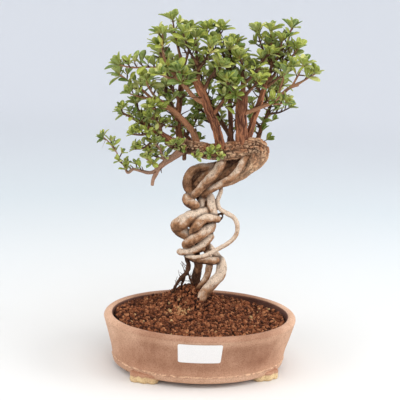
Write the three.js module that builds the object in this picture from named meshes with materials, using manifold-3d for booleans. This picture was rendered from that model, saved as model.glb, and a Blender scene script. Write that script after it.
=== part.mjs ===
// A barberry bonsai with braided roots in an oval clay pot. Millimetres, +Z up.
// The pot's long side runs along X and the tree's best side faces -Y.
import * as THREE from 'three';
import { mergeVertices } from 'three/addons/utils/BufferGeometryUtils.js';
import Module from 'manifold-3d';

const wasm = await Module();
wasm.setup();

// Clearance between pieces that rest on or in each other
const GAP = 0.35;

// Oval pot: half sizes at the lip, and how much narrower the oval is across than along
const POT_HALF_LENGTH = 130;
const POT_HALF_WIDTH = 100;
const POT_HEIGHT = 74;
const OVAL_DIFFERENCE = POT_HALF_LENGTH - POT_HALF_WIDTH;
const OVAL_STRAIGHT_FROM = 90;
const POT_SEGMENTS = 30;
const LIP_THICKNESS = 12;
const BODY_BOTTOM = 5;
const FLOOR_THICKNESS = 7;
const CREASE = { r: 117, z: 16 };
const WALL = { low: { r: 119.4, z: 31 }, high: { r: 129, z: 66.5 } };

// Cloud-shaped feet: three lobes each, sunk into the underside
const FOOT = { lobe: 9.5, taper: 1.2, stepX: 10.5, stepY: 3, sunk: 5, sides: 8 };
const FEET = [[-78, -60], [85, -53], [-80, 57], [80, 57]];

// Drain holes and the plastic screens over them
const DRAIN = { x: 45, holeRadius: 8, screenRadius: 12, screenThickness: 1.2, sides: 12 };

// Blank paper label on the front wall
const LABEL = { width: 54, height: 28.5, thickness: 0.8, z: 52, turn: -95.5, corner: 0.84, columns: 10 };

// Granular soil: a little higher on the left, with a mound round the roots on a wider swell
const SOIL_EDGE_Z = 68;
const SOIL_TILT = -0.03;
const MOUND = { x: -6, y: 46, height: 24, spread: 33 };
const SWELL = { x: 0, y: 25, height: 6, spread: 70 };
const GRAIN = { relief: 0.9, wave: 0.62 };
const SOIL_RINGS = 8;

// The tree's best side is turned a little from the pot's front, and stands behind its middle
const PLANT_TURN = THREE.MathUtils.degToRad(-8);
const PLANT_BACK = 10;
const PLANT_DOWN = 2;

// Wood: sides and distance between rings of roots, limbs and twigs
const ROOT_MAKE = { sides: 5, pitch: 11, swell: 0.05 };
const TRUNK_MAKE = { sides: 8, pitch: 11, swell: 0.09 };
const LIMB_MAKE = { sides: 6, pitch: 18, swell: 0.04 };
const TWIG_MAKE = { sides: 3, pitch: 17, swell: 0 };
const LIMB_FROM_RADIUS = 3.4;

// Leaves grow in fans from one root: three on each short spur and five at each twig's tip
const LEAF = { short: 13, long: 20, slender: 0.46, spread: 54, flattest: -8, steepest: 34, lift: 0.3 };
const FAN = {
  spur: 3, tip: 5, clear: 1.4, crown: 0.5, rib: 1.1, notch: 2.6, step: 2.4, sunk: 0.55, open: 50,
};

// On a spur the hub stands this many twig radii further out, so that it clears the bark
const HUB_RADII = 2.1;

// How far a grown copy's root is moved out of its own twig, as a share of the way to its hub
const COPY_ROOT = 0.6;

// Where the two corners of each blade's blunt end lie: share of its width aside, and of its length
const BLADE_ENDS = [[[-0.5, 0.76], [0.26, 1]], [[-0.3, 1], [0.5, 0.78]], [[-0.26, 1], [0.5, 0.76]]];

// Leaves low in the tree are smaller than those at its top
const LEAF_GROWTH = { low: 0.62, from: 285, to: 395 };

const SPUR_PITCH = 25;
const SPINE_EVERY = 2;
const BARE_SHARE = 0.25;
const SPINE = { length: 9, radius: 0.55, sides: 3, sunk: 0.5, lean: 0.4 };
const GOLDEN = 0.618034;

// A fan keeps this far from what it isn't rooted in; one that would cross is turned and made smaller
const LEAF_CLEARANCE = 0.5;
const TRIES = 6;
const TRY_TURN = 1.1;
const TRY_SHRINK = 0.06;
const ROOTED = 0.3;
const TIDY = 0.05;

// Routes are lists of [x, y, z, radius], seen from the tree's best side

// Roots from the soil up to the knot
const ROOTS = {
  frontRoot: [[-9, 11, 56, 6], [-5, 13, 73, 6.5], [0, 15, 87, 7.2], [7, 17, 99, 7.6], [16, 19, 110, 7.6],
    [24, 23, 119, 7.6], [26, 27, 129, 7.4], [23, 31, 138, 6.6], [16, 33, 146, 5.6], [8, 33, 155, 5],
    [1, 31, 164, 4.6]],
  paleRoot: [[-16, 29, 60, 3], [-13, 29, 82, 3.2], [-8, 29, 92, 3.4], [0, 29, 103, 4.2], [6, 29, 114, 4.8],
    [8, 28, 124, 5], [9, 27, 135, 5], [6, 29, 148, 5]],
  darkRoot: [[-8, 46, 60, 7.5], [-9, 46, 88, 8.4], [-9, 46, 97, 8], [-9, 44, 105, 6.6], [-8, 42, 114, 6.4],
    [-6, 37, 126, 6], [-9, 34, 138, 5.4], [-9, 33, 152, 5]],
  leftRootlet: [[-46, 36, 66, 2], [-41, 35, 84, 2.1], [-37, 33, 95, 2.3], [-32, 33, 105, 2.6],
    [-26, 32, 112, 3.4], [-21, 31, 119, 3.6], [-20, 30, 130, 3.4], [-23, 29, 141, 3.4], [-17, 31, 153, 3.4]],
  leftRootletFork: [[-31, 42, 68, 1.8], [-30, 38, 90, 1.9], [-27, 35, 102, 2.1], [-23, 32, 115, 2.4]],
  paleRootlet: [[-9, 37, 84, 1.5], [-11, 36, 96, 1.7], [-15, 34, 104, 1.7], [-18, 32, 112, 1.6],
    [-20, 31, 121, 1.6]],
  loopRoot: [[19, 31, 243, 3.2], [18, 27, 234, 3.1], [15, 23, 224, 3.1], [18, 21, 214, 3.2],
    [28, 19, 208, 3.2], [38, 17, 203, 3.2], [43, 15, 193, 3.2], [43, 13, 183, 3.2], [37, 11, 173, 3.3],
    [28, 9, 166, 3.2], [15, 8, 158, 3.2], [3, 7, 151, 3.3], [-10, 8, 147, 3.1], [-22, 14, 147, 3],
    [-28, 21, 149, 3]],
};

// Coils of the knot, lowest first
const COILS = {
  lowBand: [[-16, 34, 146, 5], [-17, 28, 141, 5.4], [-7, 21, 140, 5.6], [5, 19, 140, 5.4], [16, 24, 139, 5.4],
    [21, 31, 141, 5.2]],
  fourthCoil: [[10, 27, 174, 5], [2, 18, 168, 5.6], [-8, 14, 159, 5.4], [-19, 14, 153, 4.8],
    [-28, 16, 151, 4.6], [-33, 21, 150, 4.4], [-31, 27, 147, 4.2], [-23, 34, 147, 4.2], [-10, 37, 153, 4.4],
    [2, 35, 164, 4.6]],
  thirdCoil: [[10, 25, 194, 5.6], [8, 18, 188, 6.2], [0, 13, 183, 7], [-10, 11, 176, 7.4], [-19, 13, 168, 7],
    [-25, 20, 161, 6], [-22, 30, 157, 5], [-11, 36, 162, 5], [0, 35, 172, 5], [7, 31, 182, 5]],
  rightEdge: [[11, 25, 202, 4.4], [11, 27, 192, 4.4], [10, 28, 182, 4.4], [7, 28, 172, 4.4],
    [4, 29, 162, 4.4], [3, 31, 151, 4.6], [8, 32, 141, 5]],
  backEdge: [[0, 34, 208, 5], [-4, 38, 196, 5.4], [-8, 38, 184, 5.4], [-12, 36, 172, 5.4], [-12, 34, 158, 5],
    [-8, 33, 140, 5]],
  core: [[3, 27, 205, 6], [-6, 25, 194, 9], [-10, 25, 180, 10], [-8, 26, 166, 9], [-3, 28, 152, 7]],
  secondLobe: [[16, 23, 198, 5], [15, 16, 200, 5.6], [7, 12, 202, 5.8], [-2, 10, 201, 6.4],
    [-10, 9, 196, 7.6], [-14, 12, 187, 7.2], [-17, 17, 178, 5.6]],
  leftBulb: [[0, 21, 209, 6.6], [-9, 16, 207, 7.8], [-20, 13, 201, 9.8], [-30, 14, 194, 10.2],
    [-38, 18, 188, 9.2], [-36, 23, 181, 8.4], [-28, 24, 176, 8.6], [-20, 22, 174, 7.6], [-13, 22, 172, 6]],
};

// Strands of the braid between the knot and the trunk
const BRAID = {
  leftUpright: [[-4, 29, 232, 4.8], [-6, 25, 224, 4.8], [-7, 21, 216, 4.8], [-9, 18, 207, 5]],
  rightUpright: [[3, 29, 231, 4.6], [6, 23, 224, 5.8], [7, 20, 217, 6], [10, 19, 209, 5.6], [12, 17, 200, 5]],
  backUpright: [[0, 33, 236, 5], [-1, 33, 224, 5], [-1, 33, 212, 5.2], [-1, 34, 202, 5]],
  knobLoop: [[-20, 29, 230, 5.6], [-26, 22, 227, 6.6], [-26, 16, 223, 7.4], [-20, 14, 220, 7.6],
    [-14, 19, 216, 6.6], [-10, 27, 212, 5]],
  innerKnot: [[-23, 33, 243, 3.8], [-17, 32, 234, 4.4], [-11, 32, 226, 4.6], [-5, 32, 215, 4]],
  leftLoop: [[10, 35, 270, 5.4], [-2, 35, 267, 5.8], [-13, 34, 265, 6], [-22, 32, 260, 6.2],
    [-27, 30, 251, 6.4], [-27, 28, 242, 6.2], [-24, 26, 234, 6], [-22, 23, 229, 5.8]],
  frontDiagonal: [[20, 25, 287, 6.2], [14, 16, 271, 6.2], [9, 12, 264, 6.2], [2, 10, 256, 6.4],
    [-5, 11, 247, 6.2], [-13, 16, 236, 5.8], [-19, 21, 228, 5.2]],
  secondDiagonal: [[51, 25, 290, 4.8], [45, 17, 279, 4.8], [41, 14, 272, 4.8], [36, 12, 264, 4.9],
    [29, 11, 257, 4.9], [18, 12, 250, 4.9], [7, 15, 242, 5], [-2, 20, 235, 4.6], [-5, 25, 229, 4.4]],
  innerRoot: [[-15, 31, 240, 6], [-5, 32, 252, 6.6], [6, 33, 261, 6.8], [18, 34, 268, 6.8], [34, 32, 280, 6]],
  innerBack: [[-18, 36, 238, 5.5], [-15, 38, 248, 6], [-11, 38, 257, 6], [0, 37, 264, 5.5], [12, 36, 272, 5]],
  innerLow: [[-3, 30, 238, 6], [8, 29, 247, 7.4], [20, 28, 255, 8], [34, 28, 265, 8], [46, 27, 276, 7]],
  barkStrip: [[-19, 20, 288, 1.8], [-8, 16, 283, 1.7], [4, 16, 282, 1.7], [17, 16, 282, 1.7],
    [30, 17, 283, 1.7], [43, 20, 286, 1.8]],
  stub: [[-33, 26, 290, 3], [-33, 25, 277, 2.6]],
};

// The trunk rises behind the braid, folds over at the right and lies level to the left
const TRUNK = [[-8, 33, 231, 6], [2, 32, 239, 7.2], [17, 29, 247, 7.6], [32, 27, 254, 7.6],
  [46, 26, 263, 7.8], [58, 25, 274, 9], [67, 25, 286, 10.6], [68, 25, 297, 11.2], [59, 25, 301, 11.4],
  [47, 25, 298, 11.4], [31, 25, 294, 11.2], [14, 25, 291, 11], [-3, 25, 291, 10.6], [-19, 26, 293, 10],
  [-34, 27, 295, 9], [-48, 28, 298, 7.5], [-58, 29, 302, 6.4]];

// Each branch has a stem and its twigs; its first point lies inside what carries it
const BRANCHES = {
  branch_right: {
    stem: [[43, 25, 299, 9.4], [42, 25, 312, 8.8], [40, 25, 332, 8.3], [39, 25, 353, 8.1],
      [39, 25, 373, 7.6]],
    twigs: [
      [[40, 25, 367, 4], [39, 23, 387, 3.2], [37, 21, 403, 2.2], [34, 19, 417, 1.4]],
      [[41, 21, 366, 2.8], [50, 9, 379, 2.2], [58, -2, 390, 1.5]],
      [[36, 21, 364, 2.6], [26, 7, 375, 2.2], [17, -5, 387, 1.4]],
      [[40, 23, 384, 2.6], [51, 26, 394, 2.2], [62, 29, 410, 1.8], [69, 31, 423, 1.2]],
    ],
  },
  branch_middle: {
    stem: [[16, 23, 295, 7.6], [12, 20, 308, 6.8], [5, 16, 329, 6.4], [-4, 13, 347, 6.3], [-11, 10, 364, 6.2],
      [-19, 8, 379, 5.8], [-25, 7, 389, 5]],
    twigs: [
      [[-20, 8, 381, 3.4], [-20, 9, 401, 2.6], [-24, 10, 420, 1.8], [-26, 12, 441, 1.2]],
      [[-13, 10, 368, 3], [-6, 7, 387, 2.6], [1, 4, 398, 2], [10, 1, 407, 1.3]],
      [[1, 15, 339, 3.4], [14, 9, 360, 3], [24, 3, 374, 2.8], [26, -1, 385, 1.4]],
      [[-22, 9, 407, 2], [-34, 2, 426, 1.6], [-42, -3, 446, 1.1]],
      [[-21, 9, 398, 2], [-11, 3, 415, 1.6], [-6, 0, 431, 1.1]],
    ],
  },
  branch_back_left: {
    stem: [[-39, 33, 297, 5.4], [-43, 45, 313, 4.8], [-45, 49, 332, 4.6], [-44, 52, 349, 4.4],
      [-43, 54, 366, 4.2], [-42, 55, 386, 3.6], [-41, 56, 403, 2.8]],
    twigs: [
      [[-41, 56, 401, 2.6], [-48, 55, 419, 2.1], [-54, 54, 440, 1.6], [-58, 53, 459, 1.1]],
      [[-41, 56, 395, 2.2], [-35, 61, 421, 1.8], [-35, 62, 449, 1.2]],
      [[-42, 55, 379, 2.2], [-57, 59, 395, 1.8], [-71, 61, 409, 1.4], [-77, 61, 425, 1]],
      [[-44, 52, 353, 2.6], [-55, 71, 366, 2.2], [-62, 86, 383, 1.6], [-66, 95, 401, 1.1]],
      [[-43, 54, 363, 2.4], [-31, 73, 381, 2], [-20, 87, 399, 1.3]],
    ],
  },
  branch_left: {
    stem: [[-16, 29, 297, 5.2], [-24, 27, 316, 4.8], [-34, 25, 327, 4.5], [-45, 22, 338, 4.2],
      [-59, 19, 348, 4.1], [-72, 17, 356, 4], [-85, 15, 358, 3.4]],
    twigs: [
      [[-79, 16, 357, 2.2], [-91, 15, 368, 1.8], [-101, 15, 373, 1.5], [-113, 16, 381, 1.2],
        [-123, 17, 388, 1]],
      [[-71, 17, 356, 2], [-81, 3, 371, 1.6], [-86, -7, 384, 1.1]],
      [[-84, 15, 358, 1.8], [-97, 11, 361, 1.4], [-108, 9, 364, 1.1]],
      [[-60, 19, 350, 2], [-69, 2, 346, 1.6], [-79, -11, 350, 1.1]],
      [[-44, 22, 337, 2], [-56, 35, 354, 1.6], [-65, 43, 369, 1.1]],
    ],
  },
  branch_left_low: {
    stem: [[-50, 28, 299, 6], [-65, 23, 310, 4.8], [-80, 19, 318, 3.8], [-93, 17, 326, 2.8],
      [-106, 16, 332, 2], [-120, 16, 339, 1.2]],
    twigs: [
      [[-77, 20, 318, 2.4], [-88, 9, 311, 1.7], [-102, 1, 312, 1.1]],
      [[-65, 23, 310, 2.8], [-70, 7, 329, 2], [-79, -4, 336, 1.3]],
      [[-85, 18, 321, 2.2], [-94, 30, 336, 1.6], [-103, 37, 348, 1.1]],
      [[-61, 25, 306, 2.6], [-75, 17, 302, 1.9], [-88, 15, 292, 1.4], [-99, 14, 290, 1.1]],
      [[-66, 23, 312, 2.4], [-80, 43, 314, 1.8], [-95, 57, 325, 1.2]],
    ],
  },
  branch_lowest: {
    stem: [[-36, 23, 290, 6], [-49, 20, 280, 4.8], [-59, 18, 273, 4.5], [-66, 16, 266, 3.8],
      [-70, 15, 257, 3.1], [-73, 15, 250, 2.8], [-74, 15, 242, 2.6]],
    twigs: [
      [[-67, 16, 263, 3], [-78, 15, 259, 2.6], [-90, 14, 261, 2.4], [-100, 13, 263, 2.1],
        [-107, 13, 258, 2.2], [-112, 12, 267, 1.5], [-117, 12, 273, 1.2], [-123, 12, 285, 1.1],
        [-134, 13, 298, 1], [-142, 13, 305, 0.8]],
      [[-57, 18, 275, 2.6], [-63, 14, 284, 1.9], [-66, 9, 294, 1.4], [-72, 4, 301, 1.1]],
      [[-68, 16, 262, 2.2], [-74, 9, 273, 1.5], [-83, 4, 280, 1.1]],
      [[-49, 20, 280, 2.4], [-66, 35, 276, 1.8], [-82, 45, 280, 1.2]],
    ],
  },
  branch_right_back: {
    stem: [[49, 30, 302, 5.4], [54, 39, 321, 4.9], [58, 42, 339, 4.7], [64, 45, 358, 4.6], [70, 47, 381, 4]],
    twigs: [
      [[70, 47, 376, 3], [75, 47, 394, 2.4], [76, 45, 420, 1.8], [72, 43, 453, 1.1]],
      [[70, 47, 379, 2.6], [84, 50, 400, 2], [94, 53, 427, 1.5], [100, 55, 457, 1]],
      [[67, 45, 366, 2.4], [57, 62, 381, 1.8], [53, 71, 400, 1.2]],
      [[61, 43, 349, 2.4], [78, 62, 361, 1.8], [91, 75, 376, 1.2]],
      [[72, 47, 378, 2.2], [88, 36, 394, 1.8], [102, 27, 408, 1.2]],
      [[75, 46, 408, 1.8], [64, 51, 426, 1.4], [55, 54, 449, 1]],
      [[75, 46, 401, 1.8], [84, 42, 421, 1.4], [88, 41, 440, 1]],
      [[89, 51, 409, 1.8], [101, 46, 419, 1.4], [109, 42, 431, 1]],
    ],
  },
  branch_back_middle: {
    stem: [[34, 30, 296, 4.6], [27, 52, 308, 3.6], [15, 65, 324, 3.2], [5, 74, 339, 2.8], [-6, 83, 356, 2.4],
      [-14, 90, 374, 1.8], [-19, 95, 393, 1.2]],
    twigs: [
      [[17, 65, 323, 2.2], [5, 79, 319, 1.6], [-8, 89, 322, 1.1]],
      [[0, 77, 346, 2.2], [13, 90, 362, 1.7], [21, 98, 379, 1.1]],
      [[6, 73, 336, 2], [-11, 75, 336, 1.5], [-24, 77, 344, 1]],
    ],
  },
  branch_top_middle: {
    stem: [[27, 29, 298, 4.8], [27, 38, 325, 3.8], [24, 43, 351, 3.4], [22, 43, 383, 2.8], [15, 40, 408, 2.2],
      [9, 38, 427, 1.6], [5, 38, 450, 1]],
    twigs: [
      [[22, 43, 380, 2.2], [27, 47, 400, 1.8], [28, 50, 417, 1.3], [27, 51, 433, 0.9]],
      [[24, 43, 362, 2], [12, 40, 379, 1.5], [0, 38, 391, 1]],
      [[15, 40, 405, 1.8], [-2, 36, 426, 1.4], [-13, 34, 450, 0.9]],
      [[22, 43, 387, 1.8], [22, 31, 409, 1.3], [20, 23, 429, 0.9]],
      [[23, 43, 371, 2], [36, 59, 386, 1.5], [43, 69, 404, 1]],
    ],
  },
  branch_back_right: {
    stem: [[56, 28, 298, 6], [64, 51, 304, 4], [70, 71, 318, 3.2], [78, 86, 336, 2.6], [85, 97, 357, 1.8],
      [91, 103, 377, 1.2]],
    twigs: [
      [[70, 71, 318, 2.2], [59, 88, 329, 1.6], [53, 99, 348, 1.1]],
      [[78, 86, 336, 2], [95, 89, 339, 1.4], [108, 89, 346, 1]],
      [[82, 91, 346, 1.8], [74, 103, 366, 1.3], [70, 110, 386, 0.9]],
    ],
  },
  branch_back_low: {
    stem: [[-18, 28, 291, 6], [-27, 55, 298, 3.8], [-37, 75, 306, 3], [-48, 90, 317, 2.4],
      [-58, 101, 334, 1.8], [-64, 107, 354, 1.2]],
    twigs: [
      [[-33, 67, 302, 2.2], [-23, 84, 316, 1.6], [-17, 95, 333, 1.1]],
      [[-43, 83, 313, 2], [-62, 90, 311, 1.4], [-77, 93, 316, 1]],
      [[-53, 96, 327, 1.8], [-42, 105, 346, 1.3], [-34, 110, 364, 0.9]],
    ],
  },
  branch_upper_left: {
    stem: [[-9, 12, 356, 3.8], [-23, 5, 364, 3.2], [-35, 0, 377, 3], [-49, -4, 392, 2.8], [-61, -5, 406, 2.4],
      [-67, -6, 424, 1.6], [-68, -5, 444, 1.1]],
    twigs: [
      [[-60, -5, 404, 1.9], [-71, -5, 401, 1.6], [-87, -3, 401, 1.4], [-102, -1, 399, 1.2],
        [-122, 1, 401, 1]],
      [[-48, -4, 391, 1.8], [-56, -17, 390, 1.5], [-66, -27, 395, 1.1]],
      [[-29, 2, 370, 1.8], [-40, -13, 385, 1.5], [-44, -22, 400, 1.1]],
    ],
  },
  branch_far_right: {
    stem: [[40, 25, 342, 3.4], [60, 19, 352, 2.8], [76, 17, 360, 2.6], [89, 14, 372, 2.4],
      [100, 11, 383, 2.3], [110, 9, 388, 3]],
    twigs: [
      [[86, 15, 369, 1.7], [89, 15, 386, 1.5], [93, 16, 400, 1.1]],
      [[109, 9, 388, 1.8], [121, 7, 396, 1.2], [131, 6, 403, 0.9]],
      [[102, 11, 384, 1.6], [109, 5, 400, 1.3], [114, 1, 414, 1]],
      [[75, 17, 360, 1.5], [86, 7, 361, 1.2], [95, 1, 364, 0.9]],
    ],
  },
  spray_front_middle: {
    stem: [[9, 22, 293, 2.6], [5, 9, 290, 2], [1, 1, 291, 1.4]],
    twigs: [
      [[5, 11, 291, 1.6], [1, 0, 292, 1.1]],
      [[6, 11, 291, 1.6], [13, 0, 289, 1.1]],
    ],
  },
  spray_front_left: {
    stem: [[-23, 22, 293, 2.8], [-31, 9, 290, 2], [-40, 2, 294, 1.6]],
    twigs: [
      [[-37, 4, 292, 1.7], [-48, -3, 302, 1]],
      [[-28, 13, 291, 1.7], [-18, 1, 286, 1]],
      [[-36, 5, 292, 1.6], [-38, -3, 304, 1]],
    ],
  },
};

// A share from 0 to 1 that is spread evenly over the whole numbers
function share(number) {
  return (number * GOLDEN) % 1;
}

// A point of the tree, turned and set back as the tree stands in the pot
function standing([x, y, z]) {
  const back = y + PLANT_BACK;
  const cos = Math.cos(PLANT_TURN);
  const sin = Math.sin(PLANT_TURN);
  return new THREE.Vector3(x * cos - back * sin, x * sin + back * cos, z - PLANT_DOWN);
}

// A closed three.js geometry as a solid that can be joined and cut
function solid(geometry) {
  const bare = new THREE.BufferGeometry();
  bare.setAttribute('position', geometry.getAttribute('position').clone());
  bare.setIndex(geometry.getIndex() ?? [...Array(geometry.getAttribute('position').count).keys()]);
  const merged = mergeVertices(bare, 1e-3);
  const corners = merged.getIndex().array;
  const triangles = [];
  for (let i = 0; i < corners.length; i += 3) {
    const [a, b, c] = [corners[i], corners[i + 1], corners[i + 2]];
    if (a !== b && b !== c && c !== a) triangles.push(a, b, c);
  }
  return new wasm.Manifold(new wasm.Mesh({
    numProp: 3,
    vertProperties: new Float32Array(merged.getAttribute('position').array),
    triVerts: new Uint32Array(triangles),
  }));
}

// A solid back as a three.js geometry
function geometryOf(body) {
  const mesh = body.getMesh();
  const geometry = new THREE.BufferGeometry();
  geometry.setAttribute('position', new THREE.BufferAttribute(mesh.vertProperties, 3));
  geometry.setIndex(new THREE.BufferAttribute(mesh.triVerts, 1));
  geometry.computeVertexNormals();
  return geometry;
}

// The largest connected body, which leaves out loose scraps and fills sealed hollows
function largest(body) {
  const parts = body.simplify(TIDY).decompose();
  return parts.reduce((best, next) => (next.volume() > best.volume() ? next : best));
}

function joined(bodies) {
  return wasm.Manifold.union(bodies);
}

// A smooth route through [x, y, z, radius] points
function routeOf(points) {
  return new THREE.CatmullRomCurve3(points.map(standing), false, 'centripetal');
}

// The radius at a share t of the route
function radiusAt(points, t) {
  const place = t * (points.length - 1);
  const before = Math.min(Math.floor(place), points.length - 2);
  return THREE.MathUtils.lerp(points[before][3], points[before + 1][3], place - before);
}

// Frames carried along a route without twist
function framesAlong(route, steps) {
  const frames = [];
  let normal = new THREE.Vector3(0.31, 0.52, 0.8);
  for (let step = 0; step <= steps; step += 1) {
    const tangent = route.getTangent(step / steps);
    normal = normal.clone().addScaledVector(tangent, -normal.dot(tangent)).normalize();
    frames.push({ at: route.getPoint(step / steps), tangent, normal, side: normal.clone().cross(tangent) });
  }
  return frames;
}

// A round length of wood: a cylinder bent along its route, lumpy by the share called swell
function wood(points, make, extra = 0) {
  const route = routeOf(points);
  const steps = Math.max(2, Math.round(route.getLength() / make.pitch));
  const frames = framesAlong(route, steps);
  const shape = new THREE.CylinderGeometry(1, 1, 1, make.sides, steps);
  const position = shape.getAttribute('position');
  for (let i = 0; i < position.count; i += 1) {
    const row = Math.round((position.getY(i) + 0.5) * steps);
    const { at, normal, side } = frames[row];
    const around = Math.atan2(position.getZ(i), position.getX(i));
    const lump = 1 + make.swell * Math.sin(2.1 * row) * Math.cos(3 * around + row);
    const radius = radiusAt(points, row / steps) * lump + extra;
    const spot = at.clone()
      .addScaledVector(normal, position.getX(i) * radius)
      .addScaledVector(side, position.getZ(i) * radius);
    position.setXYZ(i, spot.x, spot.y, spot.z);
  }
  return solid(shape);
}

function makeFor(points) {
  return points[0][3] >= LIMB_FROM_RADIUS ? LIMB_MAKE : TWIG_MAKE;
}

// Lathe shapes stand on Z and are drawn in from a circle to the pot's oval
function oval(profile, relief = () => 0) {
  const points = profile.map(([r, z]) => new THREE.Vector2(r, z));
  const shape = new THREE.LatheGeometry(points, POT_SEGMENTS).rotateX(Math.PI / 2);
  const position = shape.getAttribute('position');
  for (let i = 0; i < position.count; i += 1) {
    const radius = Math.hypot(position.getX(i), position.getY(i));
    const around = Math.atan2(position.getY(i), position.getX(i));
    const { x, y } = ovalPoint(radius, around);
    position.setXYZ(i, x, y, position.getZ(i) + relief(x, y, position.getZ(i)));
  }
  return solid(shape);
}

function ovalPoint(radius, around) {
  const straight = OVAL_STRAIGHT_FROM;
  const across = radius > straight ? radius - OVAL_DIFFERENCE : radius * (1 - OVAL_DIFFERENCE / straight);
  return { x: radius * Math.cos(around), y: across * Math.sin(around) };
}

// The pot's inside, from the floor's middle up to the lip, drawn in by a clearance
function insideProfile(clearance) {
  const floor = BODY_BOTTOM + FLOOR_THICKNESS + clearance;
  return [
    [0, floor],
    [94, floor],
    [102 - clearance, floor + 3],
    [109 - clearance, 30],
    [116 - clearance, 58],
  ];
}

function pot() {
  const lipInside = POT_HALF_LENGTH - LIP_THICKNESS;
  const outside = [
    [0, BODY_BOTTOM],
    [109, BODY_BOTTOM],
    [113.6, BODY_BOTTOM + 1.3],
    [116.2, BODY_BOTTOM + 5],
    [CREASE.r + 0.5, CREASE.z - 1],
    [CREASE.r, CREASE.z],
    [WALL.low.r, WALL.low.z],
    [WALL.high.r, WALL.high.z],
    [POT_HALF_LENGTH, WALL.high.z + 1.5],
    [POT_HALF_LENGTH, POT_HEIGHT - 4],
    [POT_HALF_LENGTH - 3.5, POT_HEIGHT],
    [lipInside + 2, POT_HEIGHT],
    [lipInside, POT_HEIGHT - 3],
  ];
  let body = oval([...outside, ...insideProfile(0).reverse()]);
  body = joined([body, ...FEET.map(([x, y]) => foot(x, y))]);
  for (const sideX of [-1, 1]) {
    body = body.subtract(upright(DRAIN.holeRadius, 0, 2 * POT_HEIGHT / 3, sideX * DRAIN.x, 0, DRAIN.sides));
  }
  return body;
}

// An upright cylinder from one height to another
function upright(radius, from, to, x, y, sides, bottomRadius = radius) {
  const shape = new THREE.CylinderGeometry(radius, bottomRadius, to - from, sides).rotateX(Math.PI / 2);
  return solid(shape.translate(x, y, (from + to) / 2));
}

// Three lobes side by side along the pot's edge
function foot(x, y) {
  const lobes = [-1, 0, 1].map((place) => upright(
    FOOT.lobe,
    0,
    BODY_BOTTOM + FOOT.sunk,
    x + Math.sign(x) * place * FOOT.stepX,
    y - Math.sign(y) * place * FOOT.stepY,
    FOOT.sides,
    FOOT.lobe - FOOT.taper,
  ));
  return joined(lobes);
}

function drainScreen(sideX) {
  const from = BODY_BOTTOM + FLOOR_THICKNESS + GAP;
  return upright(DRAIN.screenRadius, from, from + DRAIN.screenThickness, sideX * DRAIN.x, 0, DRAIN.sides);
}

// How high the soil stands over its edge level
function soilRelief(x, y) {
  const grains = Math.sin(GRAIN.wave * x + 0.3 * y) * Math.cos(GRAIN.wave * y - 0.2 * x);
  return SOIL_TILT * x + heap(MOUND, x, y) + heap(SWELL, x, y) + GRAIN.relief * grains;
}

function heap({ x, y, height, spread }, atX, atY) {
  const away = Math.hypot(atX - x, atY - y) / spread;
  return height * Math.exp(-away * away);
}

// Soil fills the pot, with a hole for each root and a hollow for each screen
function soil(rootHoles) {
  const walls = insideProfile(GAP);
  const edge = 117 - GAP;
  const profile = [...walls, [edge, SOIL_EDGE_Z - 2]];
  for (let ring = 0; ring <= SOIL_RINGS; ring += 1) {
    profile.push([edge * (1 - ring / SOIL_RINGS) - (ring === 0 ? 1 : 0), SOIL_EDGE_Z]);
  }
  let body = oval(profile, (x, y, z) => (z > SOIL_EDGE_Z - 1 ? soilRelief(x, y) : 0));
  const hollowTop = BODY_BOTTOM + FLOOR_THICKNESS + DRAIN.screenThickness + 2 * GAP;
  for (const sideX of [-1, 1]) {
    body = body.subtract(upright(DRAIN.screenRadius + GAP, 0, hollowTop, sideX * DRAIN.x, 0, DRAIN.sides));
  }
  return largest(body.subtract(rootHoles));
}

// A thin card laid on the straight part of the wall
function label() {
  const slope = (WALL.high.r - WALL.low.r) / (WALL.high.z - WALL.low.z);
  const upShare = 1 / Math.hypot(1, slope);
  const { width, height, thickness, columns } = LABEL;
  const shape = new THREE.BoxGeometry(width, height, thickness, columns, 2, 1);
  const position = shape.getAttribute('position');
  for (let i = 0; i < position.count; i += 1) {
    const atEnd = Math.abs(position.getX(i)) > width / 2 - 0.1;
    const up = position.getY(i) * upShare * (atEnd ? LABEL.corner : 1);
    const z = LABEL.z + up;
    const radius = WALL.low.r + (z - WALL.low.z) * slope + GAP + thickness / 2 + position.getZ(i);
    const around = THREE.MathUtils.degToRad(LABEL.turn) + position.getX(i) / WALL.low.r;
    const { x, y } = ovalPoint(radius, around);
    position.setXYZ(i, x, y, z);
  }
  return solid(shape);
}

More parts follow.
